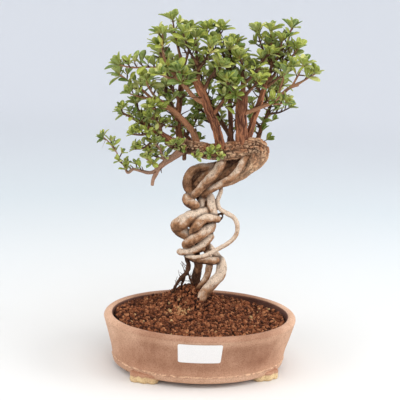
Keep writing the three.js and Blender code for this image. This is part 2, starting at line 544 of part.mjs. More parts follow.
// Blades that open from a hub just outside the twig: a flattened double cone whose edge goes
// from the root in the twig round the blunt ends of the blades, with a notch between neighbours
function fan({ root, hub, along, face, size, blades, number }, extra = 0) {
  const edge = [new THREE.Vector3(0, 0, extra ? COPY_ROOT * hub : 0)];
  for (let blade = 0; blade < blades; blade += 1) {
    const turn = (blade - (blades - 1) / 2) * THREE.MathUtils.degToRad(LEAF.spread);
    const vary = share(3 * number + blade);
    const riseShare = share(2 * number + 5 * blade);
    const rise = THREE.MathUtils.degToRad(THREE.MathUtils.lerp(LEAF.flattest, LEAF.steepest, riseShare));
    const length = size * THREE.MathUtils.lerp(LEAF.short, LEAF.long, vary) + extra;
    if (blade > 0) {
      const between = turn - THREE.MathUtils.degToRad(LEAF.spread / 2);
      edge.push(fanPoint(hub, between, 0, 0, FAN.notch + extra));
    }
    for (const [aside, reach] of BLADE_ENDS[blade % BLADE_ENDS.length]) {
      edge.push(fanPoint(hub, turn, rise, aside * (length * LEAF.slender + 2 * extra), reach * length));
    }
  }
  const shape = new THREE.SphereGeometry(1, edge.length, 2);
  const position = shape.getAttribute('position');
  for (let i = 0; i < position.count; i += 1) {
    const height = position.getY(i);
    const turn = Math.atan2(position.getZ(i), -position.getX(i)) / (2 * Math.PI);
    const pole = new THREE.Vector3(0, height > 0 ? FAN.crown + extra : -FAN.rib - extra, hub);
    const spot = Math.abs(height) > 0.9 ? pole : edge[Math.round((turn + 1) * edge.length) % edge.length];
    position.setXYZ(i, spot.x, spot.y, spot.z);
  }
  const upper = face.clone().addScaledVector(along, -face.dot(along)).normalize();
  const frame = new THREE.Matrix4().makeBasis(upper.clone().cross(along), upper, along);
  return solid(shape.applyMatrix4(frame.setPosition(root)));
}

// A point at a reach from the hub, in a direction turned sideways and raised, then moved aside
function fanPoint(hub, turn, rise, aside, reach) {
  return new THREE.Vector3(
    reach * Math.sin(turn) * Math.cos(rise) + aside * Math.cos(turn),
    reach * Math.sin(rise),
    hub + reach * Math.cos(turn) * Math.cos(rise) - aside * Math.sin(turn),
  );
}

// A sharp spine from a root point
function spine(root, along) {
  const turn = new THREE.Quaternion().setFromUnitVectors(new THREE.Vector3(0, 1, 0), along);
  const shape = new THREE.ConeGeometry(SPINE.radius, SPINE.length, SPINE.sides)
    .translate(0, SPINE.length / 2 - SPINE.sunk, 0)
    .applyQuaternion(turn)
    .translate(root.x, root.y, root.z);
  return solid(shape);
}

// The places of the fans along a twig, from its tip inwards
function spursAlong(points, firstNumber) {
  const route = routeOf(points);
  const length = route.getLength();
  const inward = [FAN.step];
  for (let from = SPUR_PITCH; from < length * (1 - BARE_SHARE); from += SPUR_PITCH) inward.push(from);
  return inward.map((from, order) => {
    const number = firstNumber + order;
    const t = 1 - from / length;
    const tangent = route.getTangentAt(t);
    const around = 2 * Math.PI * share(number);
    const sideways = new THREE.Vector3(Math.cos(around), Math.sin(around), LEAF.lift);
    const outward = sideways.addScaledVector(tangent, -sideways.dot(tangent)).normalize();
    const radius = radiusAt(points, t);
    return { at: route.getPointAt(t), radius, outward, tangent, number, isTip: order === 0 };
  });
}

// Where a fan grows on its spur; each try turns it further round the twig and makes it smaller
function fanPlace(spur, attempt) {
  const outward = spur.outward.clone().applyAxisAngle(spur.tangent, TRY_TURN * attempt);
  const grown = THREE.MathUtils.smoothstep(spur.at.z, LEAF_GROWTH.from, LEAF_GROWTH.to);
  const size = (1 - TRY_SHRINK * attempt) * THREE.MathUtils.lerp(LEAF_GROWTH.low, 1, grown);
  if (spur.isTip) {
    const hub = FAN.clear + FAN.step;
    return {
      root: spur.at,
      hub,
      along: spur.tangent,
      face: outward,
      size,
      blades: FAN.tip,
      number: spur.number,
    };
  }
  const open = THREE.MathUtils.degToRad(FAN.open);
  const along = spur.tangent.clone().multiplyScalar(Math.cos(open)).addScaledVector(outward, Math.sin(open));
  along.z += LEAF.lift;
  return {
    root: spur.at.clone().addScaledVector(outward, -FAN.sunk * spur.radius),
    hub: FAN.clear + HUB_RADII * spur.radius,
    along: along.normalize(),
    face: spur.tangent,
    size,
    blades: FAN.spur,
    number: spur.number,
  };
}

function boxesMeet(a, b) {
  return [0, 1, 2].every((axis) => a.min[axis] <= b.max[axis] && b.min[axis] <= a.max[axis]);
}

function meetsAny(body, others) {
  const box = body.boundingBox();
  return others.some((other) => boxesMeet(box, other.box) && !body.intersect(other.body).isEmpty());
}

function withBox(body) {
  return { body, box: body.boundingBox() };
}

// The fans and spines of a branch, clear of everything listed and of each other
function foliage({ stem, twigs }, ownWood, listed, firstNumber) {
  const others = [...listed];
  const grown = [];
  let number = firstNumber;
  const leafy = stem[stem.length - 1][3] < 2 ? [stem, ...twigs] : twigs;
  for (const twig of leafy) {
    for (const spur of spursAlong(twig, number)) {
      number += 1;
      for (let attempt = 0; attempt < TRIES; attempt += 1) {
        const place = fanPlace(spur, attempt);
        if (meetsAny(fan(place, LEAF_CLEARANCE), others)) continue;
        const blades = fan(place);
        if (blades.intersect(ownWood).volume() < ROOTED || meetsAny(blades, others)) continue;
        grown.push(blades);
        others.push(withBox(blades));
        break;
      }
      if (spur.isTip || spur.number % SPINE_EVERY) continue;
      const leaning = spur.outward.clone().addScaledVector(spur.tangent, -SPINE.lean).normalize();
      const thorn = spine(spur.at, leaning);
      if (!meetsAny(thorn, others) && thorn.intersect(ownWood).volume() > ROOTED / 2) grown.push(thorn);
    }
  }
  return { grown, number };
}

function colour(red, green, blue) {
  return new THREE.Color().setRGB(red / 255, green / 255, blue / 255, THREE.SRGBColorSpace);
}

const CLAY = new THREE.MeshStandardMaterial({ color: colour(186, 140, 114), roughness: 0.75, metalness: 0 });
const EARTH = new THREE.MeshStandardMaterial({ color: colour(112, 72, 53), roughness: 0.95, metalness: 0 });
const PAPER = new THREE.MeshStandardMaterial({ color: colour(238, 238, 236), roughness: 0.5, metalness: 0 });
const SCREEN = new THREE.MeshStandardMaterial({ color: colour(40, 42, 40), roughness: 0.6, metalness: 0 });
const BARK = new THREE.MeshStandardMaterial({ color: colour(168, 136, 108), roughness: 0.85, metalness: 0 });
const FOLIAGE = new THREE.MeshStandardMaterial({ color: colour(128, 142, 66), roughness: 0.5, metalness: 0 });

const bonsai = new THREE.Group();

function addPiece(name, body, material) {
  const mesh = new THREE.Mesh(geometryOf(body), material);
  mesh.name = name;
  bonsai.add(mesh);
}

// Roots, knot, braid and trunk grew together, so they are one body
function trunkParts(extra) {
  const strands = [...Object.values(ROOTS), ...Object.values(COILS), ...Object.values(BRAID)];
  return [...strands.map((points) => wood(points, ROOT_MAKE, extra)), wood(TRUNK, TRUNK_MAKE, extra)];
}

const trunk = largest(joined(trunkParts(0)));
const trunkSpace = joined(trunkParts(GAP));
const bodies = [['trunk', trunk]];

// The wood of each branch, cut clear of the trunk and of the branches before it
let taken = trunkSpace;
const branchWood = {};
for (const [name, branch] of Object.entries(BRANCHES)) {
  const routes = [branch.stem, ...branch.twigs];
  branchWood[name] = largest(joined(routes.map((points) => wood(points, makeFor(points)))).subtract(taken));
  taken = taken.add(joined(routes.map((points) => wood(points, makeFor(points), GAP))));
}

// The leaves of each branch, clear of all other wood and of the leaves before them
let leafNumber = 0;
const leafyBodies = {};
for (const [name, branch] of Object.entries(BRANCHES)) {
  const others = [trunk];
  for (const other of Object.keys(BRANCHES)) {
    if (other !== name) others.push(leafyBodies[other] ?? branchWood[other]);
  }
  const { grown, number } = foliage(branch, branchWood[name], others.map(withBox), leafNumber);
  leafNumber = number;
  leafyBodies[name] = largest(joined([branchWood[name], ...grown]));
  bodies.push([name, leafyBodies[name]]);
}

addPiece('pot', pot(), CLAY);
addPiece('soil', soil(trunkSpace), EARTH);
addPiece('drain_screen_left', drainScreen(-1), SCREEN);
addPiece('drain_screen_right', drainScreen(1), SCREEN);
addPiece('label', label(), PAPER);
for (const [name, body] of bodies) addPiece(name, body, name === 'trunk' ? BARK : FOLIAGE);

// The origin is the middle of the whole object's outline, on the surface that it stands on
const outline = new THREE.Box3().setFromObject(bonsai);
const middle = outline.getCenter(new THREE.Vector3());
bonsai.position.set(-middle.x, -middle.y, -outline.min.z);

export default bonsai;
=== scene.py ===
# A barberry bonsai with braided roots in an oval clay pot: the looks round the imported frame.
import math
from itertools import product

import bpy
import numpy as np
from mathutils import Matrix, Vector


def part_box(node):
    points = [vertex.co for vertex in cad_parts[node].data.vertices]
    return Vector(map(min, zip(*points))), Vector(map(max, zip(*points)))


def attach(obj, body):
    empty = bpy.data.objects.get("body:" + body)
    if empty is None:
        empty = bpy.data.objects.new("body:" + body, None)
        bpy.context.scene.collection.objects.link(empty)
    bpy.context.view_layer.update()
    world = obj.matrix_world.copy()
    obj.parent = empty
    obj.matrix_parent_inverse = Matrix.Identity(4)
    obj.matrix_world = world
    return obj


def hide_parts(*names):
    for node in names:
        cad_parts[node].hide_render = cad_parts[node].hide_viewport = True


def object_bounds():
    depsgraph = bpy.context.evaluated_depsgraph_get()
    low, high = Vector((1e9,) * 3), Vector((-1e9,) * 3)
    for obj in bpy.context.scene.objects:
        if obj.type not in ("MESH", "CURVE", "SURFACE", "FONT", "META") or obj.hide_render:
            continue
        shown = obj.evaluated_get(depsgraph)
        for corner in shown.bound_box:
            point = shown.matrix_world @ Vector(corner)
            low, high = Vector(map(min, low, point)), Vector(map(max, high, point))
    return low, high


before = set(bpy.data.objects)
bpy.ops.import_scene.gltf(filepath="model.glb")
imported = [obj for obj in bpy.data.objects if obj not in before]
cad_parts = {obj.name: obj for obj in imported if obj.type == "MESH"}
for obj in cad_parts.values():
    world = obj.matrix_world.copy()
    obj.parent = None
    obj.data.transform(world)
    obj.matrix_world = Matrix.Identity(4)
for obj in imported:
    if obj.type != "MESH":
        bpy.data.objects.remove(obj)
cad_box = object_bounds()

# Lengths in this file are millimetres, and MM turns them into Blender's metres
MM = 0.001
CAD_LOW, CAD_HIGH = (np.array(corner) / MM for corner in cad_box)
pot_low, pot_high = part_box("pot")
POT_CENTRE = np.array([(pot_low[0] + pot_high[0]) / 2, (pot_low[1] + pot_high[1]) / 2, 0]) / MM
random = np.random.default_rng(20)
twig_random = np.random.default_rng(31)

# The pot's outline, as in the frame
POT_HALF_LENGTH = 130
OVAL_DIFFERENCE = 30
OVAL_STRAIGHT_FROM = 90
POT_HEIGHT = 74
POT_BOTTOM = 5
POT_FLOOR = 12
CREASE_R, CREASE_Z = 117, 16
WALL_LOW_R, WALL_LOW_Z = 119.4, 31
WALL_HIGH_R, WALL_HIGH_Z = 129, 66.5
LIP_INSIDE_R = 118
DRAIN_X, DRAIN_R = 45, 8
FEET = [(-78, -60), (85, -53), (-80, 57), (80, 57)]
FOOT_STEP_X, FOOT_STEP_Y = 10.5, 3
LABEL = {"width": 53.6, "height": 28.1, "corner": 2.4, "turn": -95.5, "z": 52, "thickness": 0.35}

# The soil's top
SOIL_Z = 68
SOIL_R = 116.4
SOIL_TILT = -0.03
MOUND = {"x": -6, "y": 46, "height": 24, "spread": 33}
SWELL = {"x": 0, "y": 25, "height": 6, "spread": 70}

# How the tree stands in the pot
PLANT_TURN = math.radians(-8)
PLANT_BACK = 10
PLANT_DOWN = 2

# Routes are lists of [x, y, z, radius], seen from the tree's best side

# Roots from the soil up to the knot
ROOTS = {
  "frontRoot": [[-9, 11, 56, 6], [-5, 13, 73, 6.5], [0, 15, 87, 7.2], [7, 17, 99, 7.6], [16, 19, 110, 7.6],
    [24, 23, 119, 7.6], [26, 27, 129, 7.4], [23, 31, 138, 6.6], [16, 33, 146, 5.6], [8, 33, 155, 5],
    [1, 31, 164, 4.6]],
  "paleRoot": [[-16, 29, 60, 3], [-13, 29, 82, 3.2], [-8, 29, 92, 3.4], [0, 29, 103, 4.2], [6, 29, 114, 4.8],
    [8, 28, 124, 5], [9, 27, 135, 5], [6, 29, 148, 5]],
  "darkRoot": [[-8, 46, 60, 7.5], [-9, 46, 88, 8.4], [-9, 46, 97, 8], [-9, 44, 105, 6.6], [-8, 42, 114, 6.4],
    [-6, 37, 126, 6], [-9, 34, 138, 5.4], [-9, 33, 152, 5]],
  "leftRootlet": [[-46, 36, 66, 2], [-41, 35, 84, 2.1], [-37, 33, 95, 2.3], [-32, 33, 105, 2.6],
    [-26, 32, 112, 3.4], [-21, 31, 119, 3.6], [-20, 30, 130, 3.4], [-23, 29, 141, 3.4], [-17, 31, 153, 3.4]],
  "leftRootletFork": [[-31, 42, 68, 1.8], [-30, 38, 90, 1.9], [-27, 35, 102, 2.1], [-23, 32, 115, 2.4]],
  "paleRootlet": [[-9, 37, 84, 1.5], [-11, 36, 96, 1.7], [-15, 34, 104, 1.7], [-18, 32, 112, 1.6],
    [-20, 31, 121, 1.6]],
  "loopRoot": [[19, 31, 243, 3.2], [18, 27, 234, 3.1], [15, 23, 224, 3.1], [18, 21, 214, 3.2],
    [28, 19, 208, 3.2], [38, 17, 203, 3.2], [43, 15, 193, 3.2], [43, 13, 183, 3.2], [37, 11, 173, 3.3],
    [28, 9, 166, 3.2], [15, 8, 158, 3.2], [3, 7, 151, 3.3], [-10, 8, 147, 3.1], [-22, 14, 147, 3],
    [-28, 21, 149, 3]],
}

# Coils of the knot, lowest first
COILS = {
  "lowBand": [[-16, 34, 146, 5], [-17, 28, 141, 5.4], [-7, 21, 140, 5.6], [5, 19, 140, 5.4],
    [16, 24, 139, 5.4], [21, 31, 141, 5.2]],
  "fourthCoil": [[10, 27, 174, 5], [2, 18, 168, 5.6], [-8, 14, 159, 5.4], [-19, 14, 153, 4.8],
    [-28, 16, 151, 4.6], [-33, 21, 150, 4.4], [-31, 27, 147, 4.2], [-23, 34, 147, 4.2], [-10, 37, 153, 4.4],
    [2, 35, 164, 4.6]],
  "thirdCoil": [[10, 25, 194, 5.6], [8, 18, 188, 6.2], [0, 13, 183, 7], [-10, 11, 176, 7.4],
    [-19, 13, 168, 7], [-25, 20, 161, 6], [-22, 30, 157, 5], [-11, 36, 162, 5], [0, 35, 172, 5],
    [7, 31, 182, 5]],
  "rightEdge": [[11, 25, 202, 4.4], [11, 27, 192, 4.4], [10, 28, 182, 4.4], [7, 28, 172, 4.4],
    [4, 29, 162, 4.4], [3, 31, 151, 4.6], [8, 32, 141, 5]],
  "backEdge": [[0, 34, 208, 5], [-4, 38, 196, 5.4], [-8, 38, 184, 5.4], [-12, 36, 172, 5.4],
    [-12, 34, 158, 5], [-8, 33, 140, 5]],
  "core": [[3, 27, 205, 6], [-6, 25, 194, 9], [-10, 25, 180, 10], [-8, 26, 166, 9], [-3, 28, 152, 7]],
  "secondLobe": [[16, 23, 198, 5], [15, 16, 200, 5.6], [7, 12, 202, 5.8], [-2, 10, 201, 6.4],
    [-10, 9, 196, 7.6], [-14, 12, 187, 7.2], [-17, 17, 178, 5.6]],
  "leftBulb": [[0, 21, 209, 6.6], [-9, 16, 207, 7.8], [-20, 13, 201, 9.8], [-30, 14, 194, 10.2],
    [-38, 18, 188, 9.2], [-36, 23, 181, 8.4], [-28, 24, 176, 8.6], [-20, 22, 174, 7.6], [-13, 22, 172, 6]],
}

# Strands of the braid between the knot and the trunk
BRAID = {
  "leftUpright": [[-4, 29, 232, 4.8], [-6, 25, 224, 4.8], [-7, 21, 216, 4.8], [-9, 18, 207, 5]],
  "rightUpright": [[3, 29, 231, 4.6], [6, 23, 224, 5.8], [7, 20, 217, 6], [10, 19, 209, 5.6],
    [12, 17, 200, 5]],
  "backUpright": [[0, 33, 236, 5], [-1, 33, 224, 5], [-1, 33, 212, 5.2], [-1, 34, 202, 5]],
  "knobLoop": [[-20, 29, 230, 5.6], [-26, 22, 227, 6.6], [-26, 16, 223, 7.4], [-20, 14, 220, 7.6],
    [-14, 19, 216, 6.6], [-10, 27, 212, 5]],
  "innerKnot": [[-23, 33, 243, 3.8], [-17, 32, 234, 4.4], [-11, 32, 226, 4.6], [-5, 32, 215, 4]],
  "leftLoop": [[10, 35, 270, 5.4], [-2, 35, 267, 5.8], [-13, 34, 265, 6], [-22, 32, 260, 6.2],
    [-27, 30, 251, 6.4], [-27, 28, 242, 6.2], [-24, 26, 234, 6], [-22, 23, 229, 5.8]],
  "frontDiagonal": [[20, 25, 287, 6.2], [14, 16, 271, 6.2], [9, 12, 264, 6.2], [2, 10, 256, 6.4],
    [-5, 11, 247, 6.2], [-13, 16, 236, 5.8], [-19, 21, 228, 5.2]],
  "secondDiagonal": [[51, 25, 290, 4.8], [45, 17, 279, 4.8], [41, 14, 272, 4.8], [36, 12, 264, 4.9],
    [29, 11, 257, 4.9], [18, 12, 250, 4.9], [7, 15, 242, 5], [-2, 20, 235, 4.6], [-5, 25, 229, 4.4]],
  "innerRoot": [[-15, 31, 240, 6], [-5, 32, 252, 6.6], [6, 33, 261, 6.8], [18, 34, 268, 6.8],
    [34, 32, 280, 6]],
  "innerBack": [[-18, 36, 238, 5.5], [-15, 38, 248, 6], [-11, 38, 257, 6], [0, 37, 264, 5.5],
    [12, 36, 272, 5]],
  "innerLow": [[-3, 30, 238, 6], [8, 29, 247, 7.4], [20, 28, 255, 8], [34, 28, 265, 8], [46, 27, 276, 7]],
  "barkStrip": [[-19, 20, 288, 1.8], [-8, 16, 283, 1.7], [4, 16, 282, 1.7], [17, 16, 282, 1.7],
    [30, 17, 283, 1.7], [43, 20, 286, 1.8]],
  "stub": [[-33, 26, 290, 3], [-33, 25, 277, 2.6]],
}

# The trunk rises behind the braid, folds over at the right and lies level to the left
TRUNK = [[-8, 33, 231, 6], [2, 32, 239, 7.2], [17, 29, 247, 7.6], [32, 27, 254, 7.6], [46, 26, 263, 7.8],
  [58, 25, 274, 9], [67, 25, 286, 10.6], [68, 25, 297, 11.2], [59, 25, 301, 11.4], [47, 25, 298, 11.4],
  [31, 25, 294, 11.2], [14, 25, 291, 11], [-3, 25, 291, 10.6], [-19, 26, 293, 10], [-34, 27, 295, 9],
  [-48, 28, 298, 7.5], [-58, 29, 302, 6.4]]

# A branch is its stem and then its twigs. Each route starts inside the wood that carries it
BRANCHES = {
  "branch_right": [
    [[43, 25, 299, 9.4], [42, 25, 312, 8.8], [40, 25, 332, 8.3], [39, 25, 353, 8.1], [39, 25, 373, 7.6]],
    [[40, 25, 367, 4], [39, 23, 387, 3.2], [37, 21, 403, 2.2], [34, 19, 417, 1.4]],
    [[41, 21, 366, 2.8], [50, 9, 379, 2.2], [58, -2, 390, 1.5]],
    [[36, 21, 364, 2.6], [26, 7, 375, 2.2], [17, -5, 387, 1.4]],
    [[40, 23, 384, 2.6], [51, 26, 394, 2.2], [62, 29, 410, 1.8], [69, 31, 423, 1.2]],
  ],
  "branch_middle": [
    [[16, 23, 295, 7.6], [12, 20, 308, 6.8], [5, 16, 329, 6.4], [-4, 13, 347, 6.3], [-11, 10, 364, 6.2],
      [-19, 8, 379, 5.8], [-25, 7, 389, 5]],
    [[-20, 8, 381, 3.4], [-20, 9, 401, 2.6], [-24, 10, 420, 1.8], [-26, 12, 441, 1.2]],
    [[-13, 10, 368, 3], [-6, 7, 387, 2.6], [1, 4, 398, 2], [10, 1, 407, 1.3]],
    [[1, 15, 339, 3.4], [14, 9, 360, 3], [24, 3, 374, 2.8], [26, -1, 385, 1.4]],
    [[-22, 9, 407, 2], [-34, 2, 426, 1.6], [-42, -3, 446, 1.1]],
    [[-21, 9, 398, 2], [-11, 3, 415, 1.6], [-6, 0, 431, 1.1]],
  ],
  "branch_back_left": [
    [[-39, 33, 297, 5.4], [-43, 45, 313, 4.8], [-45, 49, 332, 4.6], [-44, 52, 349, 4.4], [-43, 54, 366, 4.2],
      [-42, 55, 386, 3.6], [-41, 56, 403, 2.8]],
    [[-41, 56, 401, 2.6], [-48, 55, 419, 2.1], [-54, 54, 440, 1.6], [-58, 53, 459, 1.1]],
    [[-41, 56, 395, 2.2], [-35, 61, 421, 1.8], [-35, 62, 449, 1.2]],
    [[-42, 55, 379, 2.2], [-57, 59, 395, 1.8], [-71, 61, 409, 1.4], [-77, 61, 425, 1]],
    [[-44, 52, 353, 2.6], [-55, 71, 366, 2.2], [-62, 86, 383, 1.6], [-66, 95, 401, 1.1]],
    [[-43, 54, 363, 2.4], [-31, 73, 381, 2], [-20, 87, 399, 1.3]],
  ],
  "branch_left": [
    [[-16, 29, 297, 5.2], [-24, 27, 316, 4.8], [-34, 25, 327, 4.5], [-45, 22, 338, 4.2], [-59, 19, 348, 4.1],
      [-72, 17, 356, 4], [-85, 15, 358, 3.4]],
    [[-79, 16, 357, 2.2], [-91, 15, 368, 1.8], [-101, 15, 373, 1.5], [-113, 16, 381, 1.2],
      [-123, 17, 388, 1]],
    [[-71, 17, 356, 2], [-81, 3, 371, 1.6], [-86, -7, 384, 1.1]],
    [[-84, 15, 358, 1.8], [-97, 11, 361, 1.4], [-108, 9, 364, 1.1]],
    [[-60, 19, 350, 2], [-69, 2, 346, 1.6], [-79, -11, 350, 1.1]],
    [[-44, 22, 337, 2], [-56, 35, 354, 1.6], [-65, 43, 369, 1.1]],
  ],
  "branch_left_low": [
    [[-50, 28, 299, 6], [-65, 23, 310, 4.8], [-80, 19, 318, 3.8], [-93, 17, 326, 2.8], [-106, 16, 332, 2],
      [-120, 16, 339, 1.2]],
    [[-77, 20, 318, 2.4], [-88, 9, 311, 1.7], [-102, 1, 312, 1.1]],
    [[-65, 23, 310, 2.8], [-70, 7, 329, 2], [-79, -4, 336, 1.3]],
    [[-85, 18, 321, 2.2], [-94, 30, 336, 1.6], [-103, 37, 348, 1.1]],
    [[-61, 25, 306, 2.6], [-75, 17, 302, 1.9], [-88, 15, 292, 1.4], [-99, 14, 290, 1.1]],
    [[-66, 23, 312, 2.4], [-80, 43, 314, 1.8], [-95, 57, 325, 1.2]],
  ],
  "branch_lowest": [
    [[-36, 23, 290, 6], [-49, 20, 280, 4.8], [-59, 18, 273, 4.5], [-66, 16, 266, 3.8], [-70, 15, 257, 3.1],
      [-73, 15, 250, 2.8], [-74, 15, 242, 2.6]],
    [[-67, 16, 263, 3], [-78, 15, 259, 2.6], [-90, 14, 261, 2.4], [-100, 13, 263, 2.1], [-107, 13, 258, 2.2],
      [-112, 12, 267, 1.5], [-117, 12, 273, 1.2], [-123, 12, 285, 1.1], [-134, 13, 298, 1],
      [-142, 13, 305, 0.8]],
    [[-57, 18, 275, 2.6], [-63, 14, 284, 1.9], [-66, 9, 294, 1.4], [-72, 4, 301, 1.1]],
    [[-68, 16, 262, 2.2], [-74, 9, 273, 1.5], [-83, 4, 280, 1.1]],
    [[-49, 20, 280, 2.4], [-66, 35, 276, 1.8], [-82, 45, 280, 1.2]],
  ],
  "branch_right_back": [
    [[49, 30, 302, 5.4], [54, 39, 321, 4.9], [58, 42, 339, 4.7], [64, 45, 358, 4.6], [70, 47, 381, 4]],
    [[70, 47, 376, 3], [75, 47, 394, 2.4], [76, 45, 420, 1.8], [72, 43, 453, 1.1]],
    [[70, 47, 379, 2.6], [84, 50, 400, 2], [94, 53, 427, 1.5], [100, 55, 457, 1]],
    [[67, 45, 366, 2.4], [57, 62, 381, 1.8], [53, 71, 400, 1.2]],
    [[61, 43, 349, 2.4], [78, 62, 361, 1.8], [91, 75, 376, 1.2]],
    [[72, 47, 378, 2.2], [88, 36, 394, 1.8], [102, 27, 408, 1.2]],
    [[75, 46, 408, 1.8], [64, 51, 426, 1.4], [55, 54, 449, 1]],
    [[75, 46, 401, 1.8], [84, 42, 421, 1.4], [88, 41, 440, 1]],
    [[89, 51, 409, 1.8], [101, 46, 419, 1.4], [109, 42, 431, 1]],
  ],
  "branch_back_middle": [
    [[34, 30, 296, 4.6], [27, 52, 308, 3.6], [15, 65, 324, 3.2], [5, 74, 339, 2.8], [-6, 83, 356, 2.4],
      [-14, 90, 374, 1.8], [-19, 95, 393, 1.2]],
    [[17, 65, 323, 2.2], [5, 79, 319, 1.6], [-8, 89, 322, 1.1]],
    [[0, 77, 346, 2.2], [13, 90, 362, 1.7], [21, 98, 379, 1.1]],
    [[6, 73, 336, 2], [-11, 75, 336, 1.5], [-24, 77, 344, 1]],
  ],
  "branch_top_middle": [
    [[27, 29, 298, 4.8], [27, 38, 325, 3.8], [24, 43, 351, 3.4], [22, 43, 383, 2.8], [15, 40, 408, 2.2],
      [9, 38, 427, 1.6], [5, 38, 450, 1]],
    [[22, 43, 380, 2.2], [27, 47, 400, 1.8], [28, 50, 417, 1.3], [27, 51, 433, 0.9]],
    [[24, 43, 362, 2], [12, 40, 379, 1.5], [0, 38, 391, 1]],
    [[15, 40, 405, 1.8], [-2, 36, 426, 1.4], [-13, 34, 450, 0.9]],
    [[22, 43, 387, 1.8], [22, 31, 409, 1.3], [20, 23, 429, 0.9]],
    [[23, 43, 371, 2], [36, 59, 386, 1.5], [43, 69, 404, 1]],
  ],
  "branch_back_right": [
    [[56, 28, 298, 6], [64, 51, 304, 4], [70, 71, 318, 3.2], [78, 86, 336, 2.6], [85, 97, 357, 1.8],
      [91, 103, 377, 1.2]],
    [[70, 71, 318, 2.2], [59, 88, 329, 1.6], [53, 99, 348, 1.1]],
    [[78, 86, 336, 2], [95, 89, 339, 1.4], [108, 89, 346, 1]],
    [[82, 91, 346, 1.8], [74, 103, 366, 1.3], [70, 110, 386, 0.9]],
  ],
  "branch_back_low": [
    [[-18, 28, 291, 6], [-27, 55, 298, 3.8], [-37, 75, 306, 3], [-48, 90, 317, 2.4], [-58, 101, 334, 1.8],
      [-64, 107, 354, 1.2]],
    [[-33, 67, 302, 2.2], [-23, 84, 316, 1.6], [-17, 95, 333, 1.1]],
    [[-43, 83, 313, 2], [-62, 90, 311, 1.4], [-77, 93, 316, 1]],
    [[-53, 96, 327, 1.8], [-42, 105, 346, 1.3], [-34, 110, 364, 0.9]],
  ],
  "branch_upper_left": [
    [[-9, 12, 356, 3.8], [-23, 5, 364, 3.2], [-35, 0, 377, 3], [-49, -4, 392, 2.8], [-61, -5, 406, 2.4],
      [-67, -6, 424, 1.6], [-68, -5, 444, 1.1]],
    [[-60, -5, 404, 1.9], [-71, -5, 401, 1.6], [-87, -3, 401, 1.4], [-102, -1, 399, 1.2], [-122, 1, 401, 1]],
    [[-48, -4, 391, 1.8], [-56, -17, 390, 1.5], [-66, -27, 395, 1.1]],
    [[-29, 2, 370, 1.8], [-40, -13, 385, 1.5], [-44, -22, 400, 1.1]],
  ],
  "branch_far_right": [
    [[40, 25, 342, 3.4], [60, 19, 352, 2.8], [76, 17, 360, 2.6], [89, 14, 372, 2.4], [100, 11, 383, 2.3],
      [110, 9, 388, 3]],
    [[86, 15, 369, 1.7], [89, 15, 386, 1.5], [93, 16, 400, 1.1]],
    [[109, 9, 388, 1.8], [121, 7, 396, 1.2], [131, 6, 403, 0.9]],
    [[102, 11, 384, 1.6], [109, 5, 400, 1.3], [114, 1, 414, 1]],
    [[75, 17, 360, 1.5], [86, 7, 361, 1.2], [95, 1, 364, 0.9]],
  ],
  "spray_front_middle": [
    [[9, 22, 293, 2.6], [5, 9, 290, 2], [1, 1, 291, 1.4]],
    [[5, 11, 291, 1.6], [1, 0, 292, 1.1]],
    [[6, 11, 291, 1.6], [13, 0, 289, 1.1]],
  ],
  "spray_front_left": [
    [[-23, 22, 293, 2.8], [-31, 9, 290, 2], [-40, 2, 294, 1.6]],
    [[-37, 4, 292, 1.7], [-48, -3, 302, 1]],
    [[-28, 13, 291, 1.7], [-18, 1, 286, 1]],
    [[-36, 5, 292, 1.6], [-38, -3, 304, 1]],
  ],
}

# Noise, routes and meshes

UP = np.array([0, 0, 1.0])

# Large odd numbers that scatter the values of neighbouring cells
HASH_FACTORS = (374761393, 668265263, 1440662683)
HASH_SEED, HASH_SPREAD = 974634777, 1274126177

# Steps between two points of a route, and a direction that no route starts along
CURVE_STEPS = 24
FIRST_NORMAL = np.array([0.31, 0.52, 0.8])

# How far a tube's ends bulge and its foot's flare reaches, in radii
DOME = 0.35
FLARE_REACH = 2.2

# The golden section spreads leaves evenly, as in the frame
GOLDEN = 0.618034


def linear(red, green, blue):
    """A colour given as 0 to 255 on a screen, as linear values, with the numbers of the sRGB standard."""
    return np.array([((c / 255 + 0.055) / 1.055) ** 2.4 if c > 10 else c / 3295 for c in (red, green, blue)])


def mixed(a, b, share):
    """Row by row mix of two colours or places."""
    share = np.clip(np.asarray(share, float), 0, 1)[..., None]
    return np.asarray(a) * (1 - share) + np.asarray(b) * share


def smooth_step(low, high, value):
    """0 at low and 1 at high, with soft ends; low may be the larger of the two."""
    t = np.clip((value - low) / (high - low), 0, 1)
    return t * t * (3 - 2 * t)


def hashed(cell, seed):
    """A value from 0 to 1 for each whole-number cell."""
    number = sum(cell[..., axis] * factor for axis, factor in enumerate(HASH_FACTORS)) + seed * HASH_SEED
    number = ((number ^ (number >> 13)) * HASH_SPREAD) & 0xFFFFFFFF
    return ((number ^ (number >> 16)) & 0xFFFFFF) / 0xFFFFFF


def noise(points, size, seed=0):
    """Smooth noise from -1 to 1 with lumps about size across. Each use has a seed of its own."""
    place = np.asarray(points, float) / size
    cell = np.floor(place).astype(np.int64)
    part = place - cell
    part = part * part * (3 - 2 * part)
    total = np.zeros(place.shape[:-1])
    for corner in product((0, 1), repeat=3):
        weight = 1.0
        for axis, is_far in enumerate(corner):
            weight = weight * (part[..., axis] if is_far else 1 - part[..., axis])
        total += weight * hashed(cell + np.array(corner), seed)
    return 2 * total - 1


